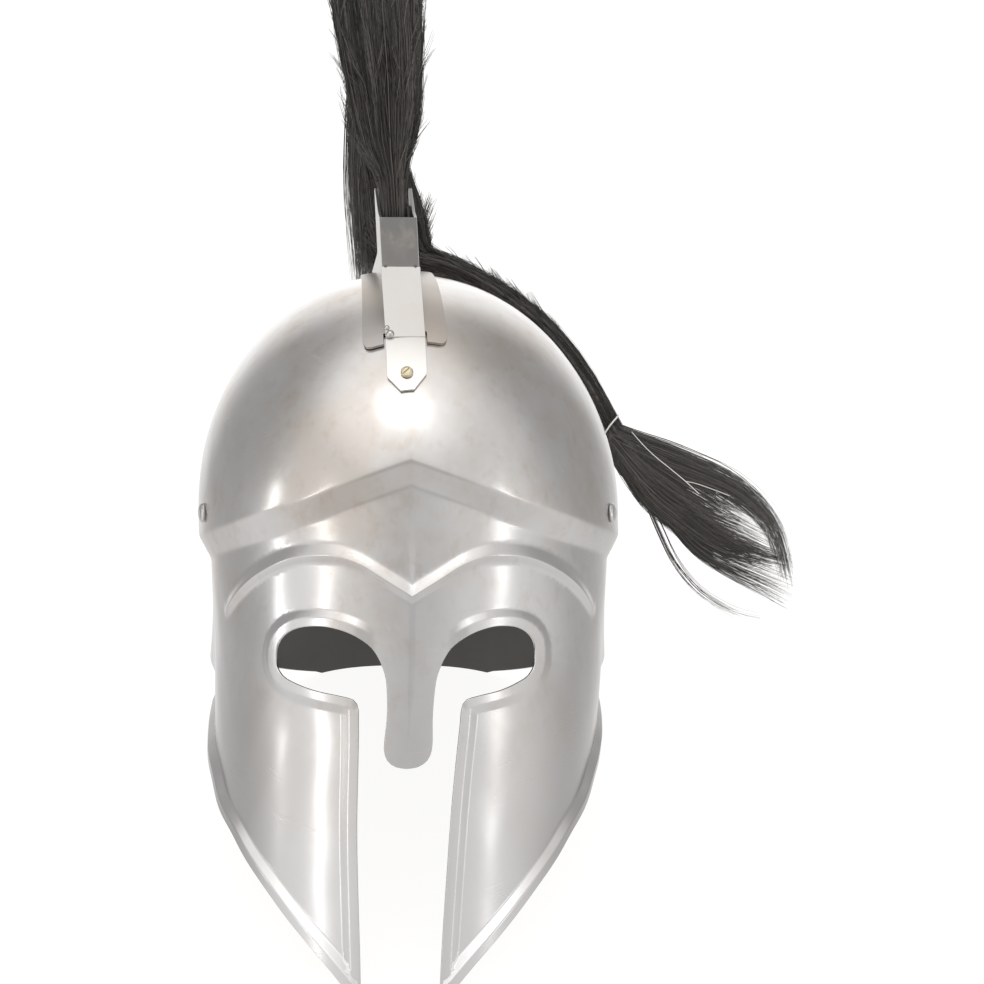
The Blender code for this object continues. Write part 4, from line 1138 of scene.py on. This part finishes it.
def in_holder_frame(points):
    points = np.array(points, float)
    lean = -HOLDER_LEAN * np.maximum(points[:, 2] - HOLDER_LEAN_FROM, 0)
    x = points[:, 0] + lean
    y = points[:, 1] - HOLDER_AXIS_Y
    c, s = math.cos(HOLDER_SKEW), math.sin(HOLDER_SKEW)
    return np.stack([HOLDER_X + c * x - s * y, HOLDER_AXIS_Y + s * x + c * y, points[:, 2]], axis=1)


def seat(x, y, off):
    """Point over the crown at a place of the holder's plan, and the crown's outward direction there."""
    plan = in_holder_frame([(x, y, 0)])[0]
    shift = HEAD * float(curve_at(LEAN, 0.95))

    def level(dx, dy):
        return float(crown_level(np.array(plan[0] - shift + dx), np.array(plan[1] + dy)))

    eps = 1e-4
    z = level(0, 0)
    normal = np.array([-(level(eps, 0) - z) / eps, -(level(0, eps) - z) / eps, 1.0])
    normal /= np.linalg.norm(normal)
    return np.array([plan[0], plan[1], z]) + off * normal, normal


def prism(outline, low, high, axis):
    """Closed prism of an outline in the two other axes, from low to high along the axis."""
    outline = np.array(outline, float)
    others = [k for k in range(3) if k != axis]
    area = 0.5 * sum(a[0] * b[1] - a[1] * b[0] for a, b in zip(outline, np.roll(outline, -1, axis=0)))
    if (area < 0) != (axis == 1):
        outline = outline[::-1]
    count = len(outline)
    points = np.zeros((2 * count, 3))
    points[:count, others] = outline
    points[count:, others] = outline
    points[:count, axis] = low
    points[count:, axis] = high
    faces = [tuple(reversed(range(count))), tuple(range(count, 2 * count))]
    for i in range(count):
        j = (i + 1) % count
        faces.append((i, j, count + j, count + i))
    return points, faces


def slab(rows, columns, low, high):
    """Closed slab over the crown: rows of depth, first and last x, between two heights over it."""
    grid = [(x, y) for y, x0, x1 in rows for x in np.linspace(x0, x1, columns)]
    points = [seat(x, y, lift)[0] for lift in (high, low) for x, y in grid]
    count = columns * len(rows)
    faces = []
    for j in range(len(rows) - 1):
        for i in range(columns - 1):
            a = j * columns + i
            faces.append((a, a + 1, a + columns + 1, a + columns))
            faces.append((count + a, count + a + columns, count + a + columns + 1, count + a + 1))
    rim = [(i, i + 1) for i in range(columns - 1)]
    rim += [((j + 1) * columns - 1, (j + 2) * columns - 1) for j in range(len(rows) - 1)]
    rim += [(count - 1 - i, count - 2 - i) for i in range(columns - 1)]
    rim += [((len(rows) - 1 - j) * columns, (len(rows) - 2 - j) * columns) for j in range(len(rows) - 1)]
    faces += [(a, count + a, count + b, b) for a, b in rim]
    return np.array(points), faces


def slope_y(level):
    return -HEAD * float(crown_radius(np.array(0.0), np.array(level / HEAD)))


def holder_parts():
    """Socket, side plates, rounded saddle wings, front strip and chamfered tab."""
    half = SOCKET_WIDTH / 2
    tuck = 0.14 * SHEET
    top_y = slope_y(TAB_TOP)
    parts = []
    for side in (1, -1):
        low = [
            (y, seat(side * half, y, 0)[0][2] + STAND_OFF + 0.6 * SHEET)
            for y in np.linspace(SADDLE_BACK, top_y + 0.6 * SHEET, 24)
        ]
        plate = low + [
            (top_y + 0.6 * SHEET, TAB_TOP + 2.2 * SHEET),
            (SOCKET_FRONT, SOCKET_FLOOR),
            (SOCKET_FRONT, SOCKET_FRONT_TOP),
            (SOCKET_FRONT + 0.010, SOCKET_FRONT_TOP + 0.0035),
            (SOCKET_BACK - 0.0055, SOCKET_BACK_TOP - 0.0008),
            (SOCKET_BACK - 0.0040, SOCKET_BACK_TOP),
            (SOCKET_BACK - 0.0012, SOCKET_BACK_TOP - 0.0006),
            (SOCKET_BACK, SOCKET_BACK_TOP - 0.003),
            (SOCKET_BACK, PLATE_BACK),
            (SOCKET_BACK + 0.012, PLATE_END),
            (SADDLE_BACK, low[0][1] + 2 * SHEET),
        ]
        across = sorted((side * (half - SHEET), side * half))
        parts.append(prism(plate, across[0], across[1], 0))
    inner = half - tuck
    bottom = SOCKET_FLOOR - 0.5 * SHEET
    front = [(-inner, bottom), (inner, bottom), (inner, SOCKET_FRONT_TOP), (-inner, SOCKET_FRONT_TOP)]
    parts.append(prism(front, SOCKET_FRONT - tuck, SOCKET_FRONT + SHEET, 1))
    back = front[:2] + [(x, SOCKET_BACK_TOP - 0.008) for x, _ in front[2:]]
    parts.append(prism(back, SOCKET_BACK - SHEET, SOCKET_BACK - tuck, 1))
    floor = [
        (-inner, SOCKET_FRONT + tuck),
        (inner, SOCKET_FRONT + tuck),
        (inner, SOCKET_BACK - 1.5 * tuck),
        (-inner, SOCKET_BACK - 1.5 * tuck),
    ]
    parts.append(prism(floor, SOCKET_FLOOR - 0.33 * SHEET, SOCKET_FLOOR + 0.67 * SHEET, 2))
    strip = [
        (SOCKET_FRONT - 1.5 * tuck, SOCKET_FLOOR + 0.4 * SHEET),
        (SOCKET_FRONT + 0.8 * SHEET, SOCKET_FLOOR + 0.2 * SHEET),
        (top_y + 2.3 * SHEET, TAB_TOP + 3.5 * SHEET),
        (top_y - 0.3 * SHEET, TAB_TOP + 0.4 * SHEET),
        (top_y - 1.1 * SHEET, TAB_TOP + 0.9 * SHEET),
    ]
    parts.append(prism(strip, -STRIP_HALF, STRIP_HALF, 0))
    parts = [(in_holder_frame(points), faces) for points, faces in parts]
    join_y = slope_y(TAB_TOP + 1.2 * SHEET) + 0.5 * SHEET
    front_y = slope_y(SADDLE_FRONT)
    corner = WING_CORNER
    depths = list(np.linspace(front_y, front_y + corner, 8))
    depths += list(np.linspace(front_y + corner, join_y, 3))[1:]
    depths += list(np.linspace(join_y + 0.3 * SHEET, SADDLE_BACK - corner, 26))
    depths += list(np.linspace(SADDLE_BACK - corner, SADDLE_BACK, 8))[1:]
    for side in (1, -1):
        rows = []
        for y in depths:
            near = max(0.0, corner - min(y - front_y, SADDLE_BACK - y))
            taper = (SADDLE_BACK_HALF - SADDLE_HALF) * (y - front_y) / (SADDLE_BACK - front_y)
            far = SADDLE_HALF + taper - corner + math.sqrt(max(0.0, corner**2 - near**2))
            inner_x = STRIP_HALF + 0.4 * SHEET if y <= join_y else half - 0.7 * SHEET
            rows.append((y, *sorted((side * inner_x, side * far))))
        parts.append(slab(rows, 9, STAND_OFF, STAND_OFF + SHEET))
    rows = []
    for level in np.linspace(TAB_END, TAB_TOP + 1.2 * SHEET, 19):
        cut = max(0.0, 1 - (level - TAB_END) / TAB_CUT_HEIGHT)
        far = STRIP_HALF - tuck - TAB_CUT_WIDTH * cut
        rows.append((slope_y(level), -far, far))
    parts.append(slab(rows, 9, STAND_OFF, STAND_OFF + SHEET))
    # Material numbers: 1 is the socket's darker steel and 4 the wings' darker, browner steel, both painted
    # shade; 2 is the tab's lighter steel, painted highlight; 3 is burnt weld.
    shades = [0, 0, 1, 1, 1, 0, 4, 4, 2]
    beads = (
        (-STRIP_HALF + 0.0022, top_y - 0.0012, TAB_TOP + 0.0027, 0.0021, 0),
        (-STRIP_HALF + 0.0008, top_y + 0.0006, TAB_TOP + 0.0056, 0.0013, 0),
        (-half + 0.0018, SOCKET_FRONT - 0.0002, SOCKET_FLOOR + 0.0008, 0.0009, 3),
        (half - 0.0018, SOCKET_FRONT - 0.0002, SOCKET_FLOOR + 0.0008, 0.0009, 3),
    )
    for x, y, z, radius, shade in beads:
        dome = [(reach * radius, height * radius) for reach, height in BEAD_PROFILE]
        points, faces = turned(dome, 12)
        parts.append((stood(points, in_holder_frame([(x, y, z)])[0], (0.1, -0.8, 0.6)), faces))
        shades.append(shade)
    return parts, shades


def turned(profile, sides):
    """Closed body turned about +Z from radius and height pairs that start and end on the axis."""
    points, faces = [(0, 0, profile[0][1])], []
    for radius, height in profile[1:-1]:
        for k in range(sides):
            a = 2 * math.pi * k / sides
            points.append((radius * math.cos(a), radius * math.sin(a), height))
    points.append((0, 0, profile[-1][1]))
    last = len(points) - 1
    for k in range(sides):
        faces.append((0, 1 + (k + 1) % sides, 1 + k))
        faces.append((last, last - sides + k, last - sides + (k + 1) % sides))
    for ring in range(len(profile) - 3):
        for k in range(sides):
            a = 1 + ring * sides + k
            b = 1 + ring * sides + (k + 1) % sides
            faces.append((a, b, b + sides, a + sides))
    return np.array(points), faces


def stood(points, at, outward):
    """Body with its +Z turned to point outward, moved to a place."""
    w = np.array(outward, float)
    w /= np.linalg.norm(w)
    u = np.cross((0, 0, 1), w)
    u /= np.linalg.norm(u)
    v = np.cross(w, u)
    return np.asarray(at) + points[:, :1] * u + points[:, 1:2] * v + points[:, 2:3] * w


def bevelled(obj, width, segments=2):
    modifier = obj.modifiers.new("softened edges", "BEVEL")
    modifier.width = width
    modifier.segments = segments
    modifier.limit_method = "ANGLE"
    modifier.angle_limit = math.radians(40)
    modifier.harden_normals = True
    return obj


def fine_steel_group():
    """Worn polished steel: colour tone, roughness and height of scratches and hand marks."""
    group = bpy.data.node_groups.new("worn polished steel", "ShaderNodeTree")
    for name, kind, value in (
        ("Steel", "NodeSocketColor", (0.634, 0.624, 0.622, 1)),
        ("Warm", "NodeSocketColor", (0.520, 0.462, 0.405, 1)),
        ("Smudges", "NodeSocketFloat", 0.65),
        ("Base Roughness", "NodeSocketFloat", 0.17),
        ("Roughness Change", "NodeSocketFloat", 0.14),
        ("Scratches", "NodeSocketFloat", 0.4),
        ("Waviness", "NodeSocketFloat", 5.0),
    ):
        named_input(group, name, kind, value)
    for name in ("Color", "Roughness", "Height"):
        kind = "NodeSocketColor" if name == "Color" else "NodeSocketFloat"
        group.interface.new_socket(name=name, in_out="OUTPUT", socket_type=kind)
    links = group.links
    start, end = group.nodes.new("NodeGroupInput"), group.nodes.new("NodeGroupOutput")
    where = group.nodes.new("ShaderNodeTexCoord")

    def mapped(scale, turn):
        node = group.nodes.new("ShaderNodeMapping")
        node.inputs["Scale"].default_value = scale
        node.inputs["Rotation"].default_value = turn
        links.new(where.outputs["Object"], node.inputs["Vector"])
        return node.outputs["Vector"]

    def noise(vector, scale, detail, rough=0.5):
        node = group.nodes.new("ShaderNodeTexNoise")
        node.inputs["Scale"].default_value = scale
        node.inputs["Detail"].default_value = detail
        node.inputs["Roughness"].default_value = rough
        links.new(vector, node.inputs["Vector"])
        return node.outputs["Fac"]

    def ramp(value, low, high, first=0.0, last=1.0):
        node = group.nodes.new("ShaderNodeMapRange")
        node.interpolation_type = "SMOOTHSTEP"
        node.inputs["From Min"].default_value = low
        node.inputs["From Max"].default_value = high
        node.inputs["To Min"].default_value = first
        node.inputs["To Max"].default_value = last
        links.new(value, node.inputs["Value"])
        return node.outputs["Result"]

    def combine(operation, a, b):
        node = group.nodes.new("ShaderNodeMath")
        node.operation = operation
        for socket, value in zip(node.inputs, (a, b)):
            if isinstance(value, (int, float)):
                socket.default_value = value
            else:
                links.new(value, socket)
        return node.outputs["Value"]

    clouds = noise(where.outputs["Object"], 9.0, 5.0, 0.6)
    smudge = noise(mapped((1, 1, 0.45), (0.2, 0.3, 0.1)), 26.0, 6.0, 0.62)
    warm = combine("MULTIPLY", ramp(clouds, 0.42, 0.62), start.outputs["Smudges"])
    hand_marks = combine("MULTIPLY", start.outputs["Smudges"], 0.5)
    warm = combine("ADD", warm, combine("MULTIPLY", ramp(smudge, 0.55, 0.75), hand_marks))
    scratches = []
    for k, turn in enumerate(((0.1, 0.0, 0.3), (0.9, 0.2, 1.1), (1.6, 0.7, 2.0))):
        lines = noise(mapped((14, 14, 700), turn), 1.0, 2.0, 0.4)
        parts = noise(mapped((1, 1, 1), (k, 2 * k, 0)), 22.0 + 7 * k, 3.0)
        thin = combine("MULTIPLY", ramp(lines, 0.62, 0.68), ramp(parts, 0.54, 0.66))
        scratches.append(thin)
    marks = combine("MAXIMUM", combine("MAXIMUM", scratches[0], scratches[1]), scratches[2])
    marks = combine("MULTIPLY", marks, start.outputs["Scratches"])
    grain = noise(mapped((1, 1, 1), (0, 0, 0)), 900.0, 2.0)
    mix = group.nodes.new("ShaderNodeMix")
    mix.data_type = "RGBA"
    spots = ramp(noise(mapped((1, 1, 0.7), (0.5, 0.1, 0.4)), 120.0, 5.0, 0.65), 0.50, 0.72)
    specks = combine("MULTIPLY", start.outputs["Smudges"], 0.45)
    warm = combine("ADD", warm, combine("MULTIPLY", spots, specks))
    # The warm tone fades out towards the bottom, below about 0.15 m height.
    height_of = group.nodes.new("ShaderNodeSeparateXYZ")
    links.new(where.outputs["Object"], height_of.inputs["Vector"])
    warm = combine("MULTIPLY", warm, ramp(height_of.outputs["Z"], 0.07, 0.15, 0.25, 1.0))
    links.new(warm, mix.inputs["Factor"])
    links.new(start.outputs["Steel"], mix.inputs[6])
    links.new(start.outputs["Warm"], mix.inputs[7])
    links.new(mix.outputs[2], end.inputs["Color"])
    change = combine("MULTIPLY", start.outputs["Roughness Change"], smudge)
    rough = combine("ADD", start.outputs["Base Roughness"], change)
    rough = combine("ADD", rough, combine("MULTIPLY", marks, 0.10))
    links.new(rough, end.inputs["Roughness"])
    height = combine("SUBTRACT", combine("MULTIPLY", grain, 0.10), marks)
    waves = noise(mapped((1, 1, 0.8), (0.3, 0.6, 0.2)), 34.0, 2.0, 0.4)
    waves = combine("MULTIPLY", waves, start.outputs["Waviness"])
    height = combine("ADD", height, waves)
    links.new(height, end.inputs["Height"])
    return group


def new_material(name):
    made = bpy.data.materials.new(name)
    made.use_nodes = True
    return made, made.node_tree, made.node_tree.nodes["Principled BSDF"]


def steel(name, group, values, bump=0.00002):
    made, tree, shader = new_material(name)
    node = tree.nodes.new("ShaderNodeGroup")
    node.node_tree = group
    for key, value in values.items():
        node.inputs[key].default_value = value
    tree.links.new(node.outputs["Color"], shader.inputs["Base Color"])
    tree.links.new(node.outputs["Roughness"], shader.inputs["Roughness"])
    relief_node = tree.nodes.new("ShaderNodeBump")
    relief_node.inputs["Strength"].default_value = 1.0
    relief_node.inputs["Distance"].default_value = bump
    tree.links.new(node.outputs["Height"], relief_node.inputs["Height"])
    tree.links.new(relief_node.outputs["Normal"], shader.inputs["Normal"])
    shader.inputs["Metallic"].default_value = 1.0
    return made


def horsehair(name, attribute):
    """Black hair with a soft sheen, its tone varying from black to brownish."""
    made, tree, shader = new_material(name)
    ramp = tree.nodes.new("ShaderNodeValToRGB")
    ramp.color_ramp.elements[0].color = (0.026, 0.025, 0.024, 1)
    ramp.color_ramp.elements[1].color = (0.165, 0.147, 0.134, 1)
    ramp.color_ramp.elements[0].position = 0.40
    if attribute:
        source = tree.nodes.new("ShaderNodeAttribute")
        source.attribute_name = "hair_tone"
        tree.links.new(source.outputs["Fac"], ramp.inputs["Fac"])
    else:
        where = tree.nodes.new("ShaderNodeTexCoord")
        noise = tree.nodes.new("ShaderNodeTexNoise")
        noise.inputs["Scale"].default_value = 600
        tree.links.new(where.outputs["Object"], noise.inputs["Vector"])
        tree.links.new(noise.outputs["Fac"], ramp.inputs["Fac"])
    tree.links.new(ramp.outputs["Color"], shader.inputs["Base Color"])
    shader.inputs["Roughness"].default_value = 0.42
    shader.inputs["Specular IOR Level"].default_value = 0.45
    return made


def thread_finish():
    made, tree, shader = new_material("white cotton thread")
    where = tree.nodes.new("ShaderNodeTexCoord")
    wave = tree.nodes.new("ShaderNodeTexNoise")
    wave.inputs["Scale"].default_value = 1800
    tree.links.new(where.outputs["Object"], wave.inputs["Vector"])
    ramp = tree.nodes.new("ShaderNodeValToRGB")
    ramp.color_ramp.elements[0].color = (0.62, 0.60, 0.56, 1)
    ramp.color_ramp.elements[1].color = (0.90, 0.89, 0.86, 1)
    tree.links.new(wave.outputs["Fac"], ramp.inputs["Fac"])
    tree.links.new(ramp.outputs["Color"], shader.inputs["Base Color"])
    bump = tree.nodes.new("ShaderNodeBump")
    bump.inputs["Distance"].default_value = 0.0001
    tree.links.new(wave.outputs["Fac"], bump.inputs["Height"])
    tree.links.new(bump.outputs["Normal"], shader.inputs["Normal"])
    shader.inputs["Roughness"].default_value = 0.85
    return made


# Finishes

steel_group = fine_steel_group()
polished = steel("polished steel", steel_group, {})
# Darkened steel for the inward faces of the shell: painted shade inside the helmet.
inside_steel_painted_shade = steel(
    "steel inside darkened as painted shade",
    steel_group,
    {
        "Steel": (0.105, 0.101, 0.096, 1),
        "Warm": (0.085, 0.076, 0.068, 1),
        "Smudges": 0.7,
        "Base Roughness": 0.45,
        "Roughness Change": 0.2,
        "Scratches": 0.3,
    },
)
holder_steel = steel(
    "satin holder steel",
    steel_group,
    {"Steel": (0.56, 0.55, 0.535, 1), "Smudges": 0.4, "Base Roughness": 0.24, "Scratches": 0.4},
)
# Darker copy of the holder steel for the socket's front, back and floor: painted shade.
socket_steel_painted_shade = steel(
    "socket steel darkened as painted shade",
    steel_group,
    {"Steel": (0.235, 0.228, 0.222, 1), "Smudges": 0.5, "Base Roughness": 0.30, "Scratches": 0.3},
)
# Darker, browner copy of the holder steel for the saddle wings: painted shade.
wing_steel_painted_shade = steel(
    "wing steel darkened as painted shade",
    steel_group,
    {"Steel": (0.47, 0.45, 0.43, 1), "Smudges": 0.8, "Base Roughness": 0.28, "Scratches": 0.3},
)
# Lighter copy of the holder steel for the tab: painted highlight.
tab_steel_painted_highlight = steel(
    "tab steel lightened as painted highlight",
    steel_group,
    {"Steel": (0.78, 0.76, 0.73, 1), "Smudges": 0.1, "Base Roughness": 0.22, "Scratches": 0.3},
)
weld_burn = steel("burnt weld", steel_group, {"Steel": (0.16, 0.14, 0.12, 1), "Base Roughness": 0.5})
brass = steel(
    "brass screw",
    steel_group,
    {
        "Steel": (0.72, 0.66, 0.50, 1),
        "Warm": (0.50, 0.42, 0.28, 1),
        "Base Roughness": 0.28,
        "Scratches": 0.2,
    },
)
hair = horsehair("black horsehair", True)
hair_under = horsehair("black horsehair underneath", False)
thread = thread_finish()

# Shell

points, normals, faces, inward = walled(*outer_skin())
points = flattened(points)
shell = mesh_piece("helmet_shell", posed(points), faces, turned_only(normals), inward)
shell.data.materials.append(polished)
# Inward faces take the darkened inside steel, painted shade.
shell.data.materials.append(inside_steel_painted_shade)
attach(shell, "root")
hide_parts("shell")
print("shell faces", len(faces))

# Plume holder

parts, shades = holder_parts()
holder_points, holder_faces = together(parts)
slots = np.concatenate([[shade] * len(part[1]) for part, shade in zip(parts, shades)])
holder = mesh_piece("sheet_steel_holder", posed(holder_points), holder_faces, slots=slots)
# The holder's darker and lighter copies of its steel are painted shade and painted highlight.
for finish in (holder_steel, socket_steel_painted_shade, tab_steel_painted_highlight, weld_burn, wing_steel_painted_shade):
    holder.data.materials.append(finish)
bevelled(holder, 0.0003, 2)
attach(holder, "root")
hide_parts("plume_holder")

# Screw and rivets keep their solids

kept_solids = {"holder_screw": brass, "strap_rivet_left": polished, "strap_rivet_right": polished}
for node, finish in kept_solids.items():
    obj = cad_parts[node]
    for material_slot in obj.material_slots:
        material_slot.material = finish

# Plume

core_points, core_faces = tail_core()
core = mesh_piece("plume_core", posed(core_points), core_faces)
core.data.materials.append(hair_under)
core.visible_glossy = False
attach(core, "root")
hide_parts("plume")
tree = hair_tree()
upper_tuft = bundle_guides(UPPER_BUNDLE, 150, (0.22, 1.0), 14, 20, 21)
upper_tuft += bundle_guides(MIDDLE_BUNDLE, 200, (0.30, 0.80), 14, 22, 22)
upper_tuft += bundle_guides(MIDDLE_BUNDLE, 46, (0.75, 1.0), 14, 24, 23)
upper_tuft += bundle_guides(widened(UPPER_BUNDLE, 1.30), 16, (0.45, 0.95), 14, 16, 29)
lower_tuft = bundle_guides(LOWER_BUNDLE, 220, (0.35, 1.0), 14, 22, 24)
lower_tuft += bundle_guides(LOW_FAN, 60, (0.45, 1.0), 14, 24, 25)
lower_tuft += bundle_guides(widened(LOWER_BUNDLE, 1.25), 14, (0.45, 0.95), 14, 14, 30)
lower_tuft += bundle_guides(WISP, 4, (0.70, 1.0), 14, 3, 26)
lower_tuft += bundle_guides(REAR_LOCK, 120, (0.93, 1.0), 14, 12, 27)
lower_tuft += bundle_guides(BRUSH, 70, (0.35, 1.0), 14, 30, 28)
rising = tail_guides(320, (0.0, 0.03), (0.48, 0.60), 19, (0.88, 0.99), 1.2, 11)
falling = tail_guides(320, (0.36, 0.50), (0.99, 1.0), 22, (0.88, 0.99), 1.0, 12)
bushy = {"Spread": 0.0030, "Wave": 0.0060}
for name, guides, values in (
    ("plume_hair_rising", rising, {"Seed": 5}),
    ("plume_hair_falling", falling, {"Seed": 6}),
    ("plume_hair_upper_tuft", upper_tuft, {"Seed": 7, **bushy}),
    ("plume_hair_lower_tuft", lower_tuft, {"Seed": 9, **bushy}),
    ("plume_hair_ends", bristle_guides(1350, 7, 14), {"Seed": 8, "Wave": 0.0020, "Hairs_per_guide": 3}),
):
    piece = hairs(name, guides, tree, hair, **values)
    piece.visible_glossy = "tuft" not in name
    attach(piece, "root")

# White thread

thread_points, thread_faces = tie_thread()
tie = mesh_piece("plume_tie_thread", posed(thread_points), thread_faces)
tie.data.materials.append(thread)
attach(tie, "root")
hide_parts("plume_tie")

# Floor and light

floor_mesh = bpy.data.meshes.new("studio_floor")
floor_mesh.from_pydata([(-6, -6, 0), (6, -6, 0), (6, 6, 0), (-6, 6, 0)], [], [(0, 1, 2, 3)])
floor = bpy.data.objects.new("studio_floor", floor_mesh)
bpy.context.scene.collection.objects.link(floor)
pale, _, pale_shader = new_material("pale floor")
pale_shader.inputs["Base Color"].default_value = (0.12, 0.12, 0.12, 1)
pale_shader.inputs["Roughness"].default_value = 0.8
pale_shader.inputs["Specular IOR Level"].default_value = 0.1
pale_shader.inputs["Emission Color"].default_value = (1.0, 0.995, 0.985, 1)
pale_shader.inputs["Emission Strength"].default_value = 0.94
floor.data.materials.append(pale)
floor.visible_glossy = False


def toward(azimuth, elevation):
    """Direction from the helmet: azimuth from the camera's side, positive to the right."""
    a, e = math.radians(azimuth), math.radians(elevation)
    return np.array([math.sin(a) * math.cos(e), -math.cos(a) * math.cos(e), math.sin(e)])


def studio_world():
    """Even pale surroundings with lighter and darker regions: direction, reach from and to, strength."""
    made = bpy.data.worlds.new("studio")
    made.use_nodes = True
    nodes, links = made.node_tree.nodes, made.node_tree.links
    where = nodes.new("ShaderNodeTexCoord")
    total = None
    for azimuth, elevation, outer, inner, strength in WORLD_LOBES:
        dot = nodes.new("ShaderNodeVectorMath")
        dot.operation = "DOT_PRODUCT"
        dot.inputs[1].default_value = toward(azimuth, elevation)
        links.new(where.outputs["Generated"], dot.inputs[0])
        ramp = nodes.new("ShaderNodeMapRange")
        ramp.interpolation_type = "SMOOTHSTEP"
        ramp.inputs["From Min"].default_value = math.cos(math.radians(outer))
        ramp.inputs["From Max"].default_value = math.cos(math.radians(inner))
        ramp.inputs["To Min"].default_value = 0.0
        ramp.inputs["To Max"].default_value = strength
        links.new(dot.outputs["Value"], ramp.inputs["Value"])
        add = nodes.new("ShaderNodeMath")
        add.operation = "ADD"
        add.inputs[1].default_value = WORLD_BASE
        if total is not None:
            links.new(total, add.inputs[1])
        links.new(ramp.outputs["Result"], add.inputs[0])
        total = add.outputs["Value"]
    background = nodes["Background"]
    background.inputs["Color"].default_value = (1.0, 0.995, 0.988, 1)
    links.new(total, background.inputs["Strength"])
    return made


bpy.context.scene.world = studio_world()


def strip_light(name, azimuth, elevation, width, height, radiance, distance=2.0):
    light = bpy.data.lights.new(name, "AREA")
    light.shape = "RECTANGLE"
    light.size = width
    light.size_y = height
    light.energy = radiance * math.pi * width * height
    light.color = (1.0, 0.995, 0.985)
    obj = bpy.data.objects.new(name, light)
    obj.location = AIM + distance * toward(azimuth, elevation)
    obj.rotation_euler = Vector(toward(azimuth, elevation)).to_track_quat("Z", "Y").to_euler()
    bpy.context.scene.collection.objects.link(obj)
    return obj


strip_light("far left strip", -84, 3, 0.16, 0.46, 3.6)
strip_light("left strip", -52, 13, 0.15, 0.72, 3.4)
strip_light("right strip", 57, 13, 0.26, 0.72, 1.8)
strip_light("overhead", -9, 74, 0.80, 0.55, 1.7)

# Camera

look = np.array([math.sin(CAMERA_YAW), math.cos(CAMERA_YAW), 0.0])
right = np.array([math.cos(CAMERA_YAW), -math.sin(CAMERA_YAW), 0.0])
axes = turned_only(np.array([right, np.cross(right, look), -look]))
place = posed(np.array([CAMERA_AIM - CAMERA_DISTANCE * look]))[0]
camera_data = bpy.data.cameras.new("camera")
camera_data.lens = CAMERA_LENS
camera_data.sensor_width = 36.0
camera = bpy.data.objects.new("camera", camera_data)
camera.matrix_world = Matrix([[*axes[:, k], place[k]] for k in range(3)] + [[0, 0, 0, 1]])
bpy.context.scene.collection.objects.link(camera)
bpy.context.scene.camera = camera
bpy.context.scene.view_settings.view_transform = "Standard"
